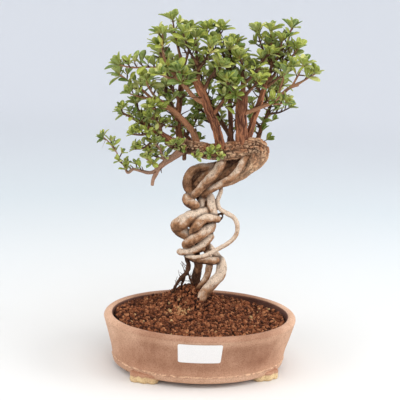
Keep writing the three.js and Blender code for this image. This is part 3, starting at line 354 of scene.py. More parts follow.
def cracks(points, size, seed=0):
    """How far each point is from the edge between noise cells about size across: 0 on the edge."""
    place = np.asarray(points, float) / size
    cell = np.floor(place).astype(np.int64)
    nearest = np.full(place.shape[:-1], 9.0)
    second = np.full(place.shape[:-1], 9.0)
    for neighbour in product((-1, 0, 1), repeat=3):
        other = cell + np.array(neighbour)
        spot = other + np.stack([hashed(other, seed + k) for k in (1, 2, 3)], -1)
        away = np.linalg.norm(place - spot, axis=-1)
        second = np.minimum(second, np.maximum(nearest, away))
        nearest = np.minimum(nearest, away)
    return second - nearest


def unit(vectors):
    return vectors / np.maximum(np.linalg.norm(vectors, axis=-1, keepdims=True), 1e-9)


def full_turn(count):
    """Even angles once round."""
    return np.linspace(0, 2 * math.pi, count, endpoint=False)


def turned(way):
    """A place or direction turned with the tree's own axes."""
    cos, sin = math.cos(PLANT_TURN), math.sin(PLANT_TURN)
    return np.array([way[0] * cos - way[1] * sin, way[0] * sin + way[1] * cos, way[2]])


def standing(point):
    """A point of the tree as it stands in the pot, in the frame's millimetres."""
    x, y, z = point[:3]
    return turned((x, y + PLANT_BACK, z - PLANT_DOWN)) + POT_CENTRE


def in_cad_box(points, margin=0):
    return (points.min(0) >= CAD_LOW + margin).all() and (points.max(0) <= CAD_HIGH - margin).all()


class Route:
    """A smooth centripetal curve through [x, y, z, radius] points, sampled at even steps."""

    def __init__(self, points, pitch):
        spots = np.array([standing(p) for p in points])
        radii = np.array([p[3] for p in points], float)
        fine_at, fine_radius = [], []
        last = len(spots) - 1
        for i in range(last):
            before = spots[i - 1] if i else 2 * spots[0] - spots[1]
            after = spots[i + 2] if i + 2 <= last else 2 * spots[last] - spots[last - 1]
            start, end = spots[i], spots[i + 1]
            gaps = [np.linalg.norm(b - a) ** 0.5 for a, b in ((before, start), (start, end), (end, after))]
            leave = gaps[1] * ((start - before) / gaps[0] - (end - before) / (gaps[0] + gaps[1])
                               + (end - start) / gaps[1])
            reach = gaps[1] * ((end - start) / gaps[1] - (after - start) / (gaps[1] + gaps[2])
                               + (after - end) / gaps[2])
            t = np.linspace(0, 1, CURVE_STEPS, endpoint=i == last - 1)[:, None]
            fine_at.append(start + leave * t + (3 * (end - start) - 2 * leave - reach) * t ** 2
                           + (2 * (start - end) + leave + reach) * t ** 3)
            fine_radius.append(radii[i] + (radii[i + 1] - radii[i]) * t[:, 0])
        at = np.concatenate(fine_at)
        travelled = np.concatenate([[0], np.cumsum(np.linalg.norm(np.diff(at, axis=0), axis=1))])
        self.length = travelled[-1]
        self.along = np.linspace(0, self.length, max(3, int(round(self.length / pitch)) + 1))
        self.at = np.stack([np.interp(self.along, travelled, at[:, k]) for k in range(3)], -1)
        self.radius = np.interp(self.along, travelled, np.concatenate(fine_radius))
        self.tangent = unit(np.gradient(self.at, axis=0))
        normal = FIRST_NORMAL
        normals = []
        for tangent in self.tangent:
            normal = normal - tangent * normal.dot(tangent)
            normal = normal / np.linalg.norm(normal)
            normals.append(normal)
        self.normal = np.array(normals)
        self.side = np.cross(self.tangent, self.normal)

    def place(self, along):
        """Position, direction and radius at a distance from the start."""
        at, tangent = (np.array([np.interp(along, self.along, rows[:, k]) for k in range(3)])
                       for rows in (self.at, self.tangent))
        return at, tangent / np.linalg.norm(tangent), np.interp(along, self.along, self.radius)


class Parts:
    """Vertices, faces and values at the vertices, gathered part by part into one piece."""

    def __init__(self):
        self.points, self.faces, self.values, self.count = [], [], {}, 0

    def add(self, points, faces, **values):
        self.points.append(points)
        self.faces.extend([tuple(int(v) + self.count for v in face) for face in faces])
        for name, value in values.items():
            self.values.setdefault(name, []).append(value)
        self.count += len(points)

    def piece(self, name, material, slot, *nodes, smooth=True):
        points = np.concatenate(self.points)
        values = {key: np.concatenate(value) for key, value in self.values.items()}
        make_piece(name, points, self.faces, values, material, nodes, smooth)


def linked_object(name, data):
    """A new object in the scene that shows this mesh, light or camera."""
    made = bpy.data.objects.new(name, data)
    bpy.context.scene.collection.objects.link(made)
    return made


def make_piece(name, points, faces, values, material, nodes, smooth=True):
    """A mesh object from millimetre points, riding on the frame and standing for the named nodes."""
    mesh = bpy.data.meshes.new(name)
    mesh.from_pydata((points * MM).tolist(), [], faces)
    for key, value in values.items():
        value = np.asarray(value, np.float32)
        if value.ndim == 2:
            value = np.concatenate([value, np.ones((len(value), 1), np.float32)], 1)
            mesh.attributes.new(key, "FLOAT_COLOR", "POINT").data.foreach_set("color", value.ravel())
        else:
            mesh.attributes.new(key, "FLOAT", "POINT").data.foreach_set("value", value)
    mesh.shade_smooth() if smooth else mesh.shade_flat()
    mesh.materials.append(material)
    piece = linked_object(name, mesh)
    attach(piece, "root")
    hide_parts(*nodes)
    return piece


def ring_faces(rings, sides):
    """Quads between rings of vertices, with a fan to a point before the first and after the last."""
    faces = []
    for row in range(rings - 1):
        for j in range(sides):
            k = (j + 1) % sides
            faces.append((row * sides + j, row * sides + k, (row + 1) * sides + k, (row + 1) * sides + j))
    start, end = rings * sides, rings * sides + 1
    for j in range(sides):
        k = (j + 1) % sides
        faces += [(start, k, j), (end, (rings - 1) * sides + j, (rings - 1) * sides + k)]
    return faces


def tube(route, sides, relief, flare=0):
    """Points, faces, distance along and angle round a route, with a relief added to its radius."""
    count = len(route.along)
    angle = full_turn(sides)[None, :].repeat(count, 0)
    along = route.along[:, None].repeat(sides, 1)
    radius = route.radius[:, None].repeat(sides, 1)
    radius = radius * (1 + flare * np.exp(-along / (FLARE_REACH * route.radius[0])))
    out = np.cos(angle)[..., None] * route.normal[:, None] + np.sin(angle)[..., None] * route.side[:, None]
    radius = radius + relief(along, angle, radius)
    points = (route.at[:, None] + out * radius[..., None]).reshape(-1, 3)
    start = route.at[0] - route.tangent[0] * route.radius[0] * DOME
    end = route.at[-1] + route.tangent[-1] * route.radius[-1] * DOME
    points = np.concatenate([points, [start, end]])
    along = np.concatenate([along.ravel(), [0, route.length]])
    angle = np.concatenate([angle.ravel(), [0, 0]])
    return points, ring_faces(count, sides), along, angle


def stick(at, along, length, rows, sides, across, thickness=1.0, bend=0.0, before=0.2, beyond=0.4):
    """Points of a thin shoot: rings from rows of (share of its length, radius, share of its bend), then a
    point before its start and one beyond its end."""
    aside = unit(np.cross(along, across))
    other = np.cross(along, aside)
    ring = [math.cos(a) * aside + math.sin(a) * other for a in full_turn(sides)]
    points = [at + along * length * reach + bent * bend + thickness * wide * way
              for reach, wide, bent in rows for way in ring]
    return np.array(points + [at - before * along, at + along * (length + beyond)])


# Materials

CHIP = linear(226, 184, 148)
CLAY_SHADE = linear(138, 92, 68)
MIDRIB = linear(216, 220, 150)
WHITE = (255, 255, 255)

# The clay's chipped line above the crease, and the painted shade in the crease, in millimetres
LINE = {"up": 3, "wave": 6, "wave_size": 9, "edge": 1.3, "core": 0.2, "chip_size": 4.2}
SHADE = {"down": 0.6, "edge": 1.8, "strength": 0.4}

# The midrib's half width where it ends and where it is full, in millimetres
RIB_EDGE, RIB_CORE = 0.5, 0.1


def new_material(name, roughness, specular):
    material = bpy.data.materials.new(name)
    material.use_nodes = True
    shader = material.node_tree.nodes["Principled BSDF"]
    shader.inputs["Roughness"].default_value = roughness
    shader.inputs["Specular IOR Level"].default_value = specular
    return material, material.node_tree, shader


def add_node(tree, kind, sockets=(), **settings):
    """A node with its settings, and its sockets filled with values or linked to other sockets."""
    node = tree.nodes.new(kind)
    for key, value in settings.items():
        setattr(node, key, value)
    for key, value in dict(sockets).items():
        if isinstance(value, bpy.types.NodeSocket):
            tree.links.new(value, node.inputs[key])
        else:
            node.inputs[key].default_value = value
    return node


def places(tree):
    return add_node(tree, "ShaderNodeTexCoord").outputs["Object"]


def attribute(tree, name, output):
    return add_node(tree, "ShaderNodeAttribute", attribute_name=name).outputs[output]


def noise_at(tree, where, size_mm, detail, rough):
    sockets = {"Vector": where, "Scale": 1 / (size_mm * MM), "Detail": detail, "Roughness": rough}
    return add_node(tree, "ShaderNodeTexNoise", sockets).outputs["Fac"]


def ramp(tree, factor, *stops):
    """A colour ramp with (place, (red, green, blue)) stops, in screen colours."""
    node = add_node(tree, "ShaderNodeValToRGB", {"Fac": factor})
    stopped = node.color_ramp.elements
    while len(stopped) < len(stops):
        stopped.new(0.5)
    for element, (place, shade) in zip(stopped, stops):
        element.position = place
        element.color = (*linear(*shade), 1)
    return node.outputs["Color"]


def calculated(tree, operation, first, second=0.0, third=0.0):
    return add_node(tree, "ShaderNodeMath", {0: first, 1: second, 2: third}, operation=operation).outputs[0]


def eased(tree, value, at_zero, at_one):
    """0 to 1 as a value goes from one place to another, smoothly at both ends."""
    sockets = {"Value": value, "From Min": at_zero, "From Max": at_one}
    return add_node(tree, "ShaderNodeMapRange", sockets, interpolation_type="SMOOTHSTEP").outputs["Result"]


def blended(tree, factor, first, second, **settings):
    sockets = {0: factor, 6: first, 7: second}
    return add_node(tree, "ShaderNodeMix", sockets, data_type="RGBA", **settings).outputs[2]


def darkened(tree, colour, factor, low, shade, high):
    """A colour multiplied by a screen shade where the factor is low, and left as it is where it is high."""
    return blended(tree, 1.0, colour, ramp(tree, factor, (low, shade), (high, WHITE)), blend_type="MULTIPLY")


def finished(made, colour, height, strength, depth_mm):
    """A new material with its colour and its fine relief linked in."""
    material, tree, shader = made
    tree.links.new(colour, shader.inputs["Base Color"])
    sockets = {"Height": height, "Strength": strength, "Distance": depth_mm * MM}
    tree.links.new(add_node(tree, "ShaderNodeBump", sockets).outputs["Normal"], shader.inputs["Normal"])
    return material


def tinted_material(name, roughness, specular, grain_mm, dark, relief_mm):
    """A surface coloured by its piece's tint, broken up by fine noise in colour and height."""
    made = new_material(name, roughness, specular)
    tree = made[1]
    fine = noise_at(tree, places(tree), grain_mm, 5, 0.62)
    coloured = darkened(tree, attribute(tree, "tint", "Color"), fine, 0.3, (dark, dark, dark), 0.62)
    return finished(made, coloured, fine, 0.5, relief_mm)


def clay_material():
    """Fired clay: cloudy patches, fine grain, a ragged pale line of chips along the crease, and painted shade
    in its groove.
    """
    made = new_material("clay", 0.72, 0.35)
    tree = made[1]
    where = places(tree)
    cloudy = noise_at(tree, where, 38, 3, 0.6)
    coloured = darkened(tree, attribute(tree, "tint", "Color"), cloudy, 0.34, (232, 224, 218), 0.6)
    grainy = noise_at(tree, where, 1.6, 6, 0.7)
    coloured = darkened(tree, coloured, grainy, 0.33, (214, 200, 190), 0.55)
    up = add_node(tree, "ShaderNodeSeparateXYZ", {"Vector": where}).outputs["Z"]
    above = calculated(tree, "SUBTRACT", up, CREASE_Z * MM)
    waves = noise_at(tree, where, LINE["wave_size"], 3, 0.55)
    wavy = calculated(tree, "MULTIPLY_ADD", waves, LINE["wave"] * MM, above)
    off_line = calculated(tree, "ABSOLUTE", calculated(tree, "SUBTRACT", wavy, LINE["up"] * MM))
    on_line = eased(tree, off_line, LINE["edge"] * MM, LINE["core"] * MM)
    chipped = eased(tree, noise_at(tree, where, LINE["chip_size"], 4, 0.7), 0.4, 0.6)
    # Painted shade along the crease's groove.
    off_groove = calculated(tree, "ABSOLUTE", calculated(tree, "ADD", above, SHADE["down"] * MM))
    in_groove = eased(tree, off_groove, SHADE["edge"] * MM, 0)
    shaded = calculated(tree, "MULTIPLY", in_groove, SHADE["strength"])
    coloured = blended(tree, shaded, coloured, (*CLAY_SHADE, 1))
    coloured = blended(tree, calculated(tree, "MULTIPLY", on_line, chipped), coloured, (*CHIP, 1))
    return finished(made, coloured, grainy, 0.25, 0.5)


def leaf_material():
    """Satin leaf skin: the piece's tint, mottled, with a paler midrib and a little light let through."""
    made = new_material("leaf", 0.55, 0.3)
    _, tree, shader = made
    mottle = noise_at(tree, places(tree), 3.2, 3, 0.6)
    coloured = darkened(tree, attribute(tree, "tint", "Color"), mottle, 0.3, (214, 222, 200), 0.62)
    off_rib = calculated(tree, "ABSOLUTE", attribute(tree, "aside", "Fac"))
    on_rib = calculated(tree, "MULTIPLY", eased(tree, off_rib, RIB_EDGE, RIB_CORE), 0.5)
    coloured = blended(tree, on_rib, coloured, (*MIDRIB, 1))
    shader.inputs["Subsurface Weight"].default_value = 0.12
    shader.inputs["Subsurface Radius"].default_value = (0.9, 1.0, 0.35)
    shader.inputs["Subsurface Scale"].default_value = 1.2 * MM
    return finished(made, coloured, mottle, 0.2, 0.3)


def fibre_material(name, roughness, fibre_mm, detail, dark, light, light_from, strength):
    """Paper or plastic mesh with a fine fibrous look."""
    made = new_material(name, roughness, 0.4)
    tree = made[1]
    fibres = noise_at(tree, places(tree), fibre_mm, detail, 0.6)
    return finished(made, ramp(tree, fibres, (0.3, dark), (light_from, light)), fibres, strength, 0.1)


CLAY = clay_material()
GRANULE = tinted_material("granules", 0.92, 0.15, 1.1, 150, 0.5)
WOOD = tinted_material("bark", 0.78, 0.25, 1.3, 176, 0.55)
LEAF = leaf_material()
PAPER = fibre_material("paper", 0.5, 1.2, 5, (236, 233, 230), (246, 243, 240), 0.6, 0.08)
SCREEN = fibre_material("screen", 0.55, 2.5, 3, (34, 37, 34), (52, 55, 52), 0.7, 0.1)


# Wood

DARK_ROOT = linear(84, 52, 34)
PALE_ROOT = linear(238, 212, 186)
ORANGE_ROOT = linear(186, 135, 95)
# Painted shade for the creases between strands
PAINTED_CREASE_SHADE = linear(52, 33, 25)
PLATE = linear(197, 134, 92)
PLATE_RIM = linear(252, 211, 170)
GROOVE = linear(50, 26, 17)
LIMB_LIGHT = linear(232, 154, 108)
LIMB_DARK = linear(80, 42, 28)
TWIG_LIGHT = linear(168, 120, 86)
TWIG_DARK = linear(54, 32, 24)
CUT_WOOD = linear(176, 140, 108)

# How pale each strand is, and how much flaky bark it has; innerKnot and the fold are painted dark as shade
STRAND_LOOKS = {
    "frontRoot": (1.0, 0), "paleRoot": (0.85, 0), "darkRoot": (0.3, 0.1), "leftRootlet": (0.08, 0.1),
    "leftRootletFork": (0.05, 0.1), "paleRootlet": (0.6, 0), "loopRoot": (1.0, 0), "lowBand": (0.55, 0),
    "fourthCoil": (0.8, 0), "thirdCoil": (0.78, 0), "rightEdge": (0.7, 0), "backEdge": (0.6, 0),
    "core": (0.5, 0), "secondLobe": (0.76, 0), "leftBulb": (0.8, 0), "leftUpright": (0.9, 0.1),
    "rightUpright": (0.95, 0), "backUpright": (0.6, 0), "knobLoop": (0.52, 0.05), "leftLoop": (0.5, 0.25),
    "frontDiagonal": (0.7, 0.2), "secondDiagonal": (0.72, 0.12), "innerRoot": (0.45, 0.4),
    "innerBack": (0.15, 0.3), "innerKnot": (0.1, 0.2), "innerLow": (0.45, 0.35), "barkStrip": (0.6, 0.3),
    "stub": (0.4, 0.4), "fold": (0.05, 0.5), "deadTip": (-0.4, 0.1), "trunk": (0.8, 1),
}

# A ridge deep in the fold under the trunk, painted dark as shade, and a short dead end on the right of the
# knot
FOLD = [[20, 30, 281, 4], [31, 30, 280, 4.6], [41, 29, 284, 4.6], [49, 27, 290, 4]]
DEAD_TIP = [[17, 22, 206, 1.8], [21.5, 21, 206, 1.6], [23, 19, 203.5, 1.4], [21.5, 17, 198.5, 1.1]]

STRAND_SIDES = 20
STRAND_PITCH = 2.5
VOXEL = 1.05
SKIN_ROUNDS, PALE_ROUNDS, BARK_ROUNDS = 3, 4, 8
POINTS_AT_ONCE = 4000

# The trunk's flaky bark thickens between two distances along it, and the roots darken towards the soil
BARK_FROM, BARK_FULL = 42, 78
BARK_LEAST = 0.35
CLEAR_OF_SOIL, NEAR_SOIL = 118, 92
DARKER_NEAR_SOIL = 0.38

# Bark plates: their size, how much longer than wide, how crooked, and the width and depth of creases
PLATE_SIZE = 4.3
PLATE_STRETCH = 2.4
PLATE_WARP = 1.9
PLATE_HEIGHT, PLATE_SUNK = 2.2, 1.5
CREASE_WIDTH, CREASE_DEPTH = 1.5, 1.3

# The paler underside of the trunk where it folds, pale smooth bark with painted light: from the pot's middle
# to the right, and downwards
TAIL_X = (12, 45)
TAIL_Z = (300, 276)

# Fine hairs on the rootlets
HAIRY_ROOTS = ("leftRootlet", "leftRootletFork", "paleRootlet")
HAIRS_FROM = 3
HAIR_SPACINGS = (5, 6)
HAIR_LENGTHS = (5, 12)
HAIR_THICKNESS = 0.5


def joined_by_voxels(parts, voxel):
    """Overlapping closed parts as one skin, in millimetres."""
    mesh = bpy.data.meshes.new("strands")
    mesh.from_pydata((np.concatenate(parts.points) * MM).tolist(), [], parts.faces)
    lump = linked_object("strands", mesh)
    remesh = lump.modifiers.new("join", "REMESH")
    remesh.mode = "VOXEL"
    remesh.voxel_size = voxel * MM
    made = lump.evaluated_get(bpy.context.evaluated_depsgraph_get()).to_mesh()
    skin = np.zeros(len(made.vertices) * 3)
    made.vertices.foreach_get("co", skin)
    faces = [tuple(face.vertices) for face in made.polygons]
    edges = np.zeros(len(made.edges) * 2, np.int64)
    made.edges.foreach_get("vertices", edges)
    bpy.data.objects.remove(lump)
    return skin.reshape(-1, 3) / MM, faces, edges.reshape(-1, 2)


def relaxed(rows, edges, rounds):
    """Points, or one value for each point, moved halfway to the mean of their neighbours."""
    values = rows.reshape(len(rows), -1)
    links = np.bincount(edges.ravel(), minlength=len(values))[:, None]
    for _ in range(rounds):
        total = np.zeros_like(values)
        np.add.at(total, edges[:, 0], values[edges[:, 1]])
        np.add.at(total, edges[:, 1], values[edges[:, 0]])
        values = values + (total / links - values) * 0.5
    return values.reshape(rows.shape)


def normals_of(points, faces):
    quads = np.array([face if len(face) == 4 else (*face, face[0]) for face in faces])
    across = np.cross(points[quads[:, 2]] - points[quads[:, 0]], points[quads[:, 3]] - points[quads[:, 1]])
    total = np.zeros_like(points)
    for k in range(4):
        np.add.at(total, quads[:, k], across)
    return unit(total)


def strand_places(points, routes):
    """For each point the strand it lies on, where on it (distance along, angle round, radius), and how
    much further off the next strand is."""
    at, radius, along, normal, side = (np.concatenate([getattr(route, key) for route in routes])
                                       for key in ("at", "radius", "along", "normal", "side"))
    counts = [len(route.at) for route in routes]
    owner = np.repeat(np.arange(len(routes)), counts)
    firsts = np.cumsum([0] + counts[:-1])
    nearest = np.zeros(len(points), np.int64)
    next_off = np.zeros(len(points))
    for start in range(0, len(points), POINTS_AT_ONCE):
        block = slice(start, start + POINTS_AT_ONCE)
        away = np.linalg.norm(points[block][:, None] - at[None], axis=-1) - radius[None]
        nearest[block] = away.argmin(1)
        closest = np.partition(np.minimum.reduceat(away, firsts, axis=1), 1, axis=1)
        next_off[block] = closest[:, 1] - closest[:, 0]
    offset = points - at[nearest]
    angle = np.arctan2((offset * side[nearest]).sum(1), (offset * normal[nearest]).sum(1))
    return owner[nearest], along[nearest], angle, radius[nearest], next_off


def bark_places(along, angle, radius, stretch):
    """Places in which noise runs lengthwise with the wood."""
    return np.stack([along / stretch, np.cos(angle) * radius, np.sin(angle) * radius], -1)


def knuckles(number):
    """A strand's own relief: soft lumps and faint rings."""
    def relief(along, angle, radius):
        lumps = noise(bark_places(along, angle, radius, 1.6), 11, number)
        rings = 0.035 * np.sin(along / 3.4 + number) * noise(along[..., None] * [1, 0, 0], 9, 5)
        return radius * (0.07 * lumps + rings)
    return relief


def root_colour(points, pale, up):
    """Smooth root skin from orange-brown to pale, with painted light on top and painted shade below, peeled
    patches and specks.
    """
    peeled = smooth_step(0.05, 0.25, noise(points * [1, 1, 0.6], 7, 77)) - 0.5
    # The up term paints light on the tops and shade on the undersides.
    shade = pale - 0.14 + 0.22 * noise(points, 9, 3) + 0.2 * noise(points, 3.2, 4) + 0.44 * up + 0.14 * peeled
    colour = mixed(DARK_ROOT, ORANGE_ROOT, smooth_step(0.05, 0.55, shade))
    colour = mixed(colour, PALE_ROOT, smooth_step(0.45, 0.95, shade))
    specks = smooth_step(0.4, 0.75, noise(points, 2.2, 9))
    return mixed(colour, DARK_ROOT, 0.45 * specks)


def flaky_colour(points, edge, plates, bumps, tail):
    """Flaky bark: dark grooves, warm plates with pale rims and painted light on their tops, redder patches,
    and a paler tail of pale smooth bark with painted light.
    """
    rims = plates * smooth_step(0.62, 0.2, edge) * smooth_step(-0.5, 0.5, noise(points, 6, 35))
    colour = mixed(GROOVE, PLATE, 0.1 + 0.14 * tail + bumps)
    colour = mixed(colour, PLATE_RIM, (0.8 + 0.1 * tail) * rims + 0.34 * tail)
    redder = smooth_step(-0.1, 0.6, noise(points, 22, 32)) * (0.2 + 0.2 * noise(points, 16, 31))
    return mixed(colour, LIMB_DARK, redder * (1 - 0.8 * tail))


def make_trunk():
    """Roots, knot, braid and folded trunk as one skin, and the fine hairs on the rootlets."""
    strands = {**ROOTS, **COILS, **BRAID, "fold": FOLD, "deadTip": DEAD_TIP, "trunk": TRUNK}
    routes = [Route(points, STRAND_PITCH) for points in strands.values()]
    parts = Parts()
    for number, route in enumerate(routes):
        parts.add(*tube(route, STRAND_SIDES, knuckles(number))[:2])
    skin, faces, edges = joined_by_voxels(parts, VOXEL)
    skin = relaxed(skin, edges, SKIN_ROUNDS)
    owner, along, angle, radius, next_off = strand_places(skin, routes)
    pale, bark = np.array([STRAND_LOOKS[name] for name in strands]).T[:, owner]
    on_trunk = owner == list(strands).index("trunk")
    bark_there = BARK_LEAST + (1 - BARK_LEAST) * smooth_step(BARK_FROM, BARK_FULL, along)
    bark = relaxed(np.where(on_trunk, bark_there, bark), edges, BARK_ROUNDS)
    low = smooth_step(CLEAR_OF_SOIL, NEAR_SOIL, skin[:, 2])
    pale = relaxed(pale, edges, PALE_ROUNDS) - DARKER_NEAR_SOIL * low

    outward = normals_of(skin, faces)
    crooked = PLATE_WARP * np.stack([noise(skin, 4.5, k) for k in (21, 22, 23)], -1)
    edge = cracks(bark_places(along, angle, radius, PLATE_STRETCH) + crooked, PLATE_SIZE, 7)
    plates = smooth_step(0.04, 0.3, edge)
    ridges = noise(bark_places(along, angle, radius, 4.5), 1.7, 12)
    knobs = noise(skin, 11, 6)
    wrinkles = noise(bark_places(along, angle, radius, 0.35), 1.6, 15)
    height = bark * (PLATE_HEIGHT * plates - PLATE_SUNK + 0.6 * ridges + knobs)
    height += (1 - bark) * (0.24 * wrinkles + 0.3 * noise(skin, 5, 33) + 0.35 * noise(skin, 9, 34))
    crease = relaxed(np.exp(-(next_off / CREASE_WIDTH) ** 2) * (1 - 0.8 * bark), edges, 1)
    skin = skin + outward * (height - CREASE_DEPTH * crease)[:, None]

    up = outward[:, 2]
    # The tail is pale smooth bark with painted light on the trunk's underside.
    tail = on_trunk * smooth_step(*TAIL_X, skin[:, 0] - POT_CENTRE[0]) * smooth_step(*TAIL_Z, skin[:, 2])
    # The up term paints light on the bark's tops.
    bumps = 0.84 * plates * (0.8 + 0.5 * ridges) + 0.14 * knobs + 0.12 * up
    flaky = flaky_colour(skin, edge, plates, bumps, tail)
    # Painted shade darkens the wood in the creases where two strands meet.
    tint = mixed(mixed(root_colour(skin, pale, up), flaky, bark), PAINTED_CREASE_SHADE, 0.8 * crease)
    make_piece("trunk_and_roots", skin, faces, {"tint": tint}, WOOD, ["trunk"])

    hairs = Parts()
    for name, spacing in product(HAIRY_ROOTS, HAIR_SPACINGS):
        add_twiglets(hairs, strands[name], 5, HAIRS_FROM, spacing, HAIR_LENGTHS, HAIR_THICKNESS)
    hairs.piece("root_hairs", WOOD, "bark", "trunk")


# Branches

THICK_FROM = 3.0
STOUT_FROM = 5
STOUT_SIDES, THICK_SIDES, THIN_SIDES = 42, 26, 9
THICK_PITCH, THIN_PITCH = 1.5, 2.2
THIN_FLARE = 0.35

# Limb bark: how much longer than wide its plates are, their size and how crooked
LIMB_STRETCH = 7
LIMB_PLATE = 2.1
LIMB_WARP = 0.7

# Stems and twigs that end thicker than the first value are cut; stems thinner than the second carry leaves
CUT_FROM = 2.5
LEAFY_BELOW = 2

# Rings of a spine, a bare shoot and a leafy spur: share of the length, radius, share of the bend
SPINE_ROWS = [(-0.1, 0.5, 0), (0.25, 0.36, 0), (0.62, 0.2, 0), (0.9, 0.08, 0)]
SHOOT_ROWS = [(0.0, 1.1, 0), (0.3, 0.95, 0.3), (0.5, 0.8, 1), (0.8, 0.62, 0.6), (1.0, 0.45, 0)]
SPUR_ROWS = [(0.0, 0.9, 0), (0.35, 0.75, 0), (0.6, 0.95, 0), (0.8, 0.8, 0), (1.0, 0.95, 0)]
SHOOT_SIDES, SPUR_SIDES = 5, 6
ACROSS_SHOOT, ACROSS_SPUR = [0.4, 0.3, 0.8], [0.2, 0.5, 0.8]
SPINE_FOOT = linear(176, 140, 110)
SPINE_TIP = linear(206, 190, 150)

# Leafy places along a twig, in millimetres from its tip, and the spurs that carry the rosettes
STEP_FROM_TIP = 2.4
NODE_PITCH = 8
SPUR_SHORT, SPUR_LONG = 2.0, 8.0
SPINE_SHARE = 0.5

# Low in the tree leaves are smaller, stand closer and start nearer the twig's foot
LEAF_LONGEST = 21.5
LOW_LEAF = 0.6
LOW_PITCH = 0.54
BARE_LOW, BARE_HIGH = 0.12, 0.26
LEAF_GROWS = (285, 395)

# The crown's middle and its reach: leaves deep inside it are painted darker as shade, and those high up are
# yellower
CROWN_MIDDLE = np.array([POT_CENTRE[0], POT_CENTRE[1] + 40, 365])
CROWN_REACH = [125, 75, 95]
CROWN_FROM, CROWN_HEIGHT = 300, 150

# Bare shoots: how far the first one is from the foot, their spacing, and their least and added length
FRONT_SHOOTS = (14, 12, (7, 17))
BACK_SHOOTS = (12, 7, (7, 15))

# Above the first height shoots are short, and grow longer between the next two. The back ones carry leaves
SHORT_SHOOTS_FROM = 200
SHOOTS_GROW = (250, 350)
SMALL_LEAVES = 4
SMALL_LEAF, SMALL_LEAF_RANGE = 8, 6

# Branches that differ: how much wider apart their leaves stand, and how much larger they are
LEAFINESS = {
    "branch_lowest": (1.7, 1.15), "branch_back_right": (1.8, 1), "branch_far_right": (1.3, 1),
    "spray_front_middle": (2.3, 0.9), "spray_front_left": (2.1, 0.9), "branch_left_low": (0.85, 1),
}

# Branches with paler bark, and branches at the back and in the middle painted darker as shade: the colour and
# how much of it
PALE_BARK = linear(208, 152, 112)
BACK_BARK_SHADE = linear(50, 31, 24)
GREY_BARK = linear(200, 160, 134)
BRANCH_TONES = {
    "branch_upper_left": (PALE_BARK, 0.5), "branch_far_right": (PALE_BARK, 0.6),
    "branch_left": (PALE_BARK, 0.5), "branch_lowest": (GREY_BARK, 0.6),
    "branch_back_middle": (BACK_BARK_SHADE, 0.5), "branch_top_middle": (BACK_BARK_SHADE, 0.5),
    "branch_back_right": (BACK_BARK_SHADE, 0.4), "branch_back_low": (BACK_BARK_SHADE, 0.4),
    "branch_back_left": (BACK_BARK_SHADE, 0.2),
}
PLAIN_TONE = (PALE_BARK, 0)


def limb_cracks(lengthwise):
    crooked = lengthwise + LIMB_WARP * noise(lengthwise, 2.5, 2)[..., None]
    return cracks(crooked, LIMB_PLATE, 3)


def limb_relief(along, angle, radius):
    """Lengthwise fissures and flakes, shallower on thin wood."""
    lengthwise = bark_places(along, angle, radius, LIMB_STRETCH)
    depth = np.clip(radius / 8, 0.05, 1)
    split = smooth_step(0.02, 0.4, limb_cracks(lengthwise))
    lumps = noise(bark_places(along, angle, radius, 1.4), 9, 8)
    return depth * (split - 1.3 + 0.5 * noise(lengthwise, 1.5, 5)) + 0.09 * radius * lumps


def limb_colour(along, angle, radius, number):
    """Reddish bark with dark fissures and streaks on thick wood, plainer and darker on thin twigs."""
    split = smooth_step(0.02, 0.45, limb_cracks(bark_places(along, angle, radius, LIMB_STRETCH)))
    streaks = noise(bark_places(along, angle, radius, 9), 2.2, 17)
    patches = noise(bark_places(along, angle, radius, 1.2), 14, 19 + number)
    thick = mixed(LIMB_DARK, LIMB_LIGHT, 0.2 + 0.44 * split + 0.34 * streaks + 0.2 * patches)
    thin = mixed(TWIG_DARK, TWIG_LIGHT, 0.5 + 0.45 * patches + 0.2 * streaks)
    return mixed(thin, thick, smooth_step(1.8, 4.2, radius))


def add_limb(parts, points, number, tone):
    """A stem or twig; one that ends thick has a pale cut end."""
    foot, end = points[0][3], points[-1][3]
    is_thick = foot >= THICK_FROM
    route = Route(points, THICK_PITCH if is_thick else THIN_PITCH)
    sides = STOUT_SIDES if foot > STOUT_FROM else (THICK_SIDES if is_thick else THIN_SIDES)
    spots, faces, along, angle = tube(route, sides, limb_relief, 0 if is_thick else THIN_FLARE)
    radius = np.interp(along, route.along, route.radius)
    tint = mixed(limb_colour(along, angle, radius, number), *tone)
    if end > CUT_FROM:
        tint[-1] = CUT_WOOD
        tint[-2 - sides:-2] = mixed(tint[-2 - sides:-2], CUT_WOOD, 0.5)
    parts.add(spots, faces, tint=tint)


def twig_tint(points, number, least):
    """Twig colours that differ a little from point to point."""
    dark = hashed(np.round(points).astype(np.int64), number)
    return mixed(TWIG_DARK, TWIG_LIGHT, least + 0.4 * dark)


def add_spine(parts, at, along, length):
    """A slender pale spine that narrows to a point."""
    sunk = 0.12 * length
    points = stick(at, unit(along), length, SPINE_ROWS, SHOOT_SIDES, ACROSS_SHOOT, before=sunk, beyond=0)
    if in_cad_box(points):
        reach = np.concatenate([np.repeat([row[0] for row in SPINE_ROWS], SHOOT_SIDES), [0, 1]])
        faces = ring_faces(len(SPINE_ROWS), SHOOT_SIDES)
        parts.add(points, faces, tint=mixed(SPINE_FOOT, SPINE_TIP, reach))


def add_spur(parts, start, end, number, swollen):
    """A short knobby shoot from the twig's middle to its rosette."""
    along = end - start
    length = np.linalg.norm(along)
    points = stick(start, along / length, length, SPUR_ROWS, SPUR_SIDES, ACROSS_SPUR, swollen, beyond=0.7)
    parts.add(points, ring_faces(len(SPUR_ROWS), SPUR_SIDES), tint=twig_tint(points, number, 0.05))


def way_out(tangent, around, rise):
    """The direction out of a twig at an angle round the upright, somewhat upwards."""
    sideways = np.array([math.cos(around), math.sin(around), rise])
    return unit(sideways - tangent * sideways.dot(tangent))


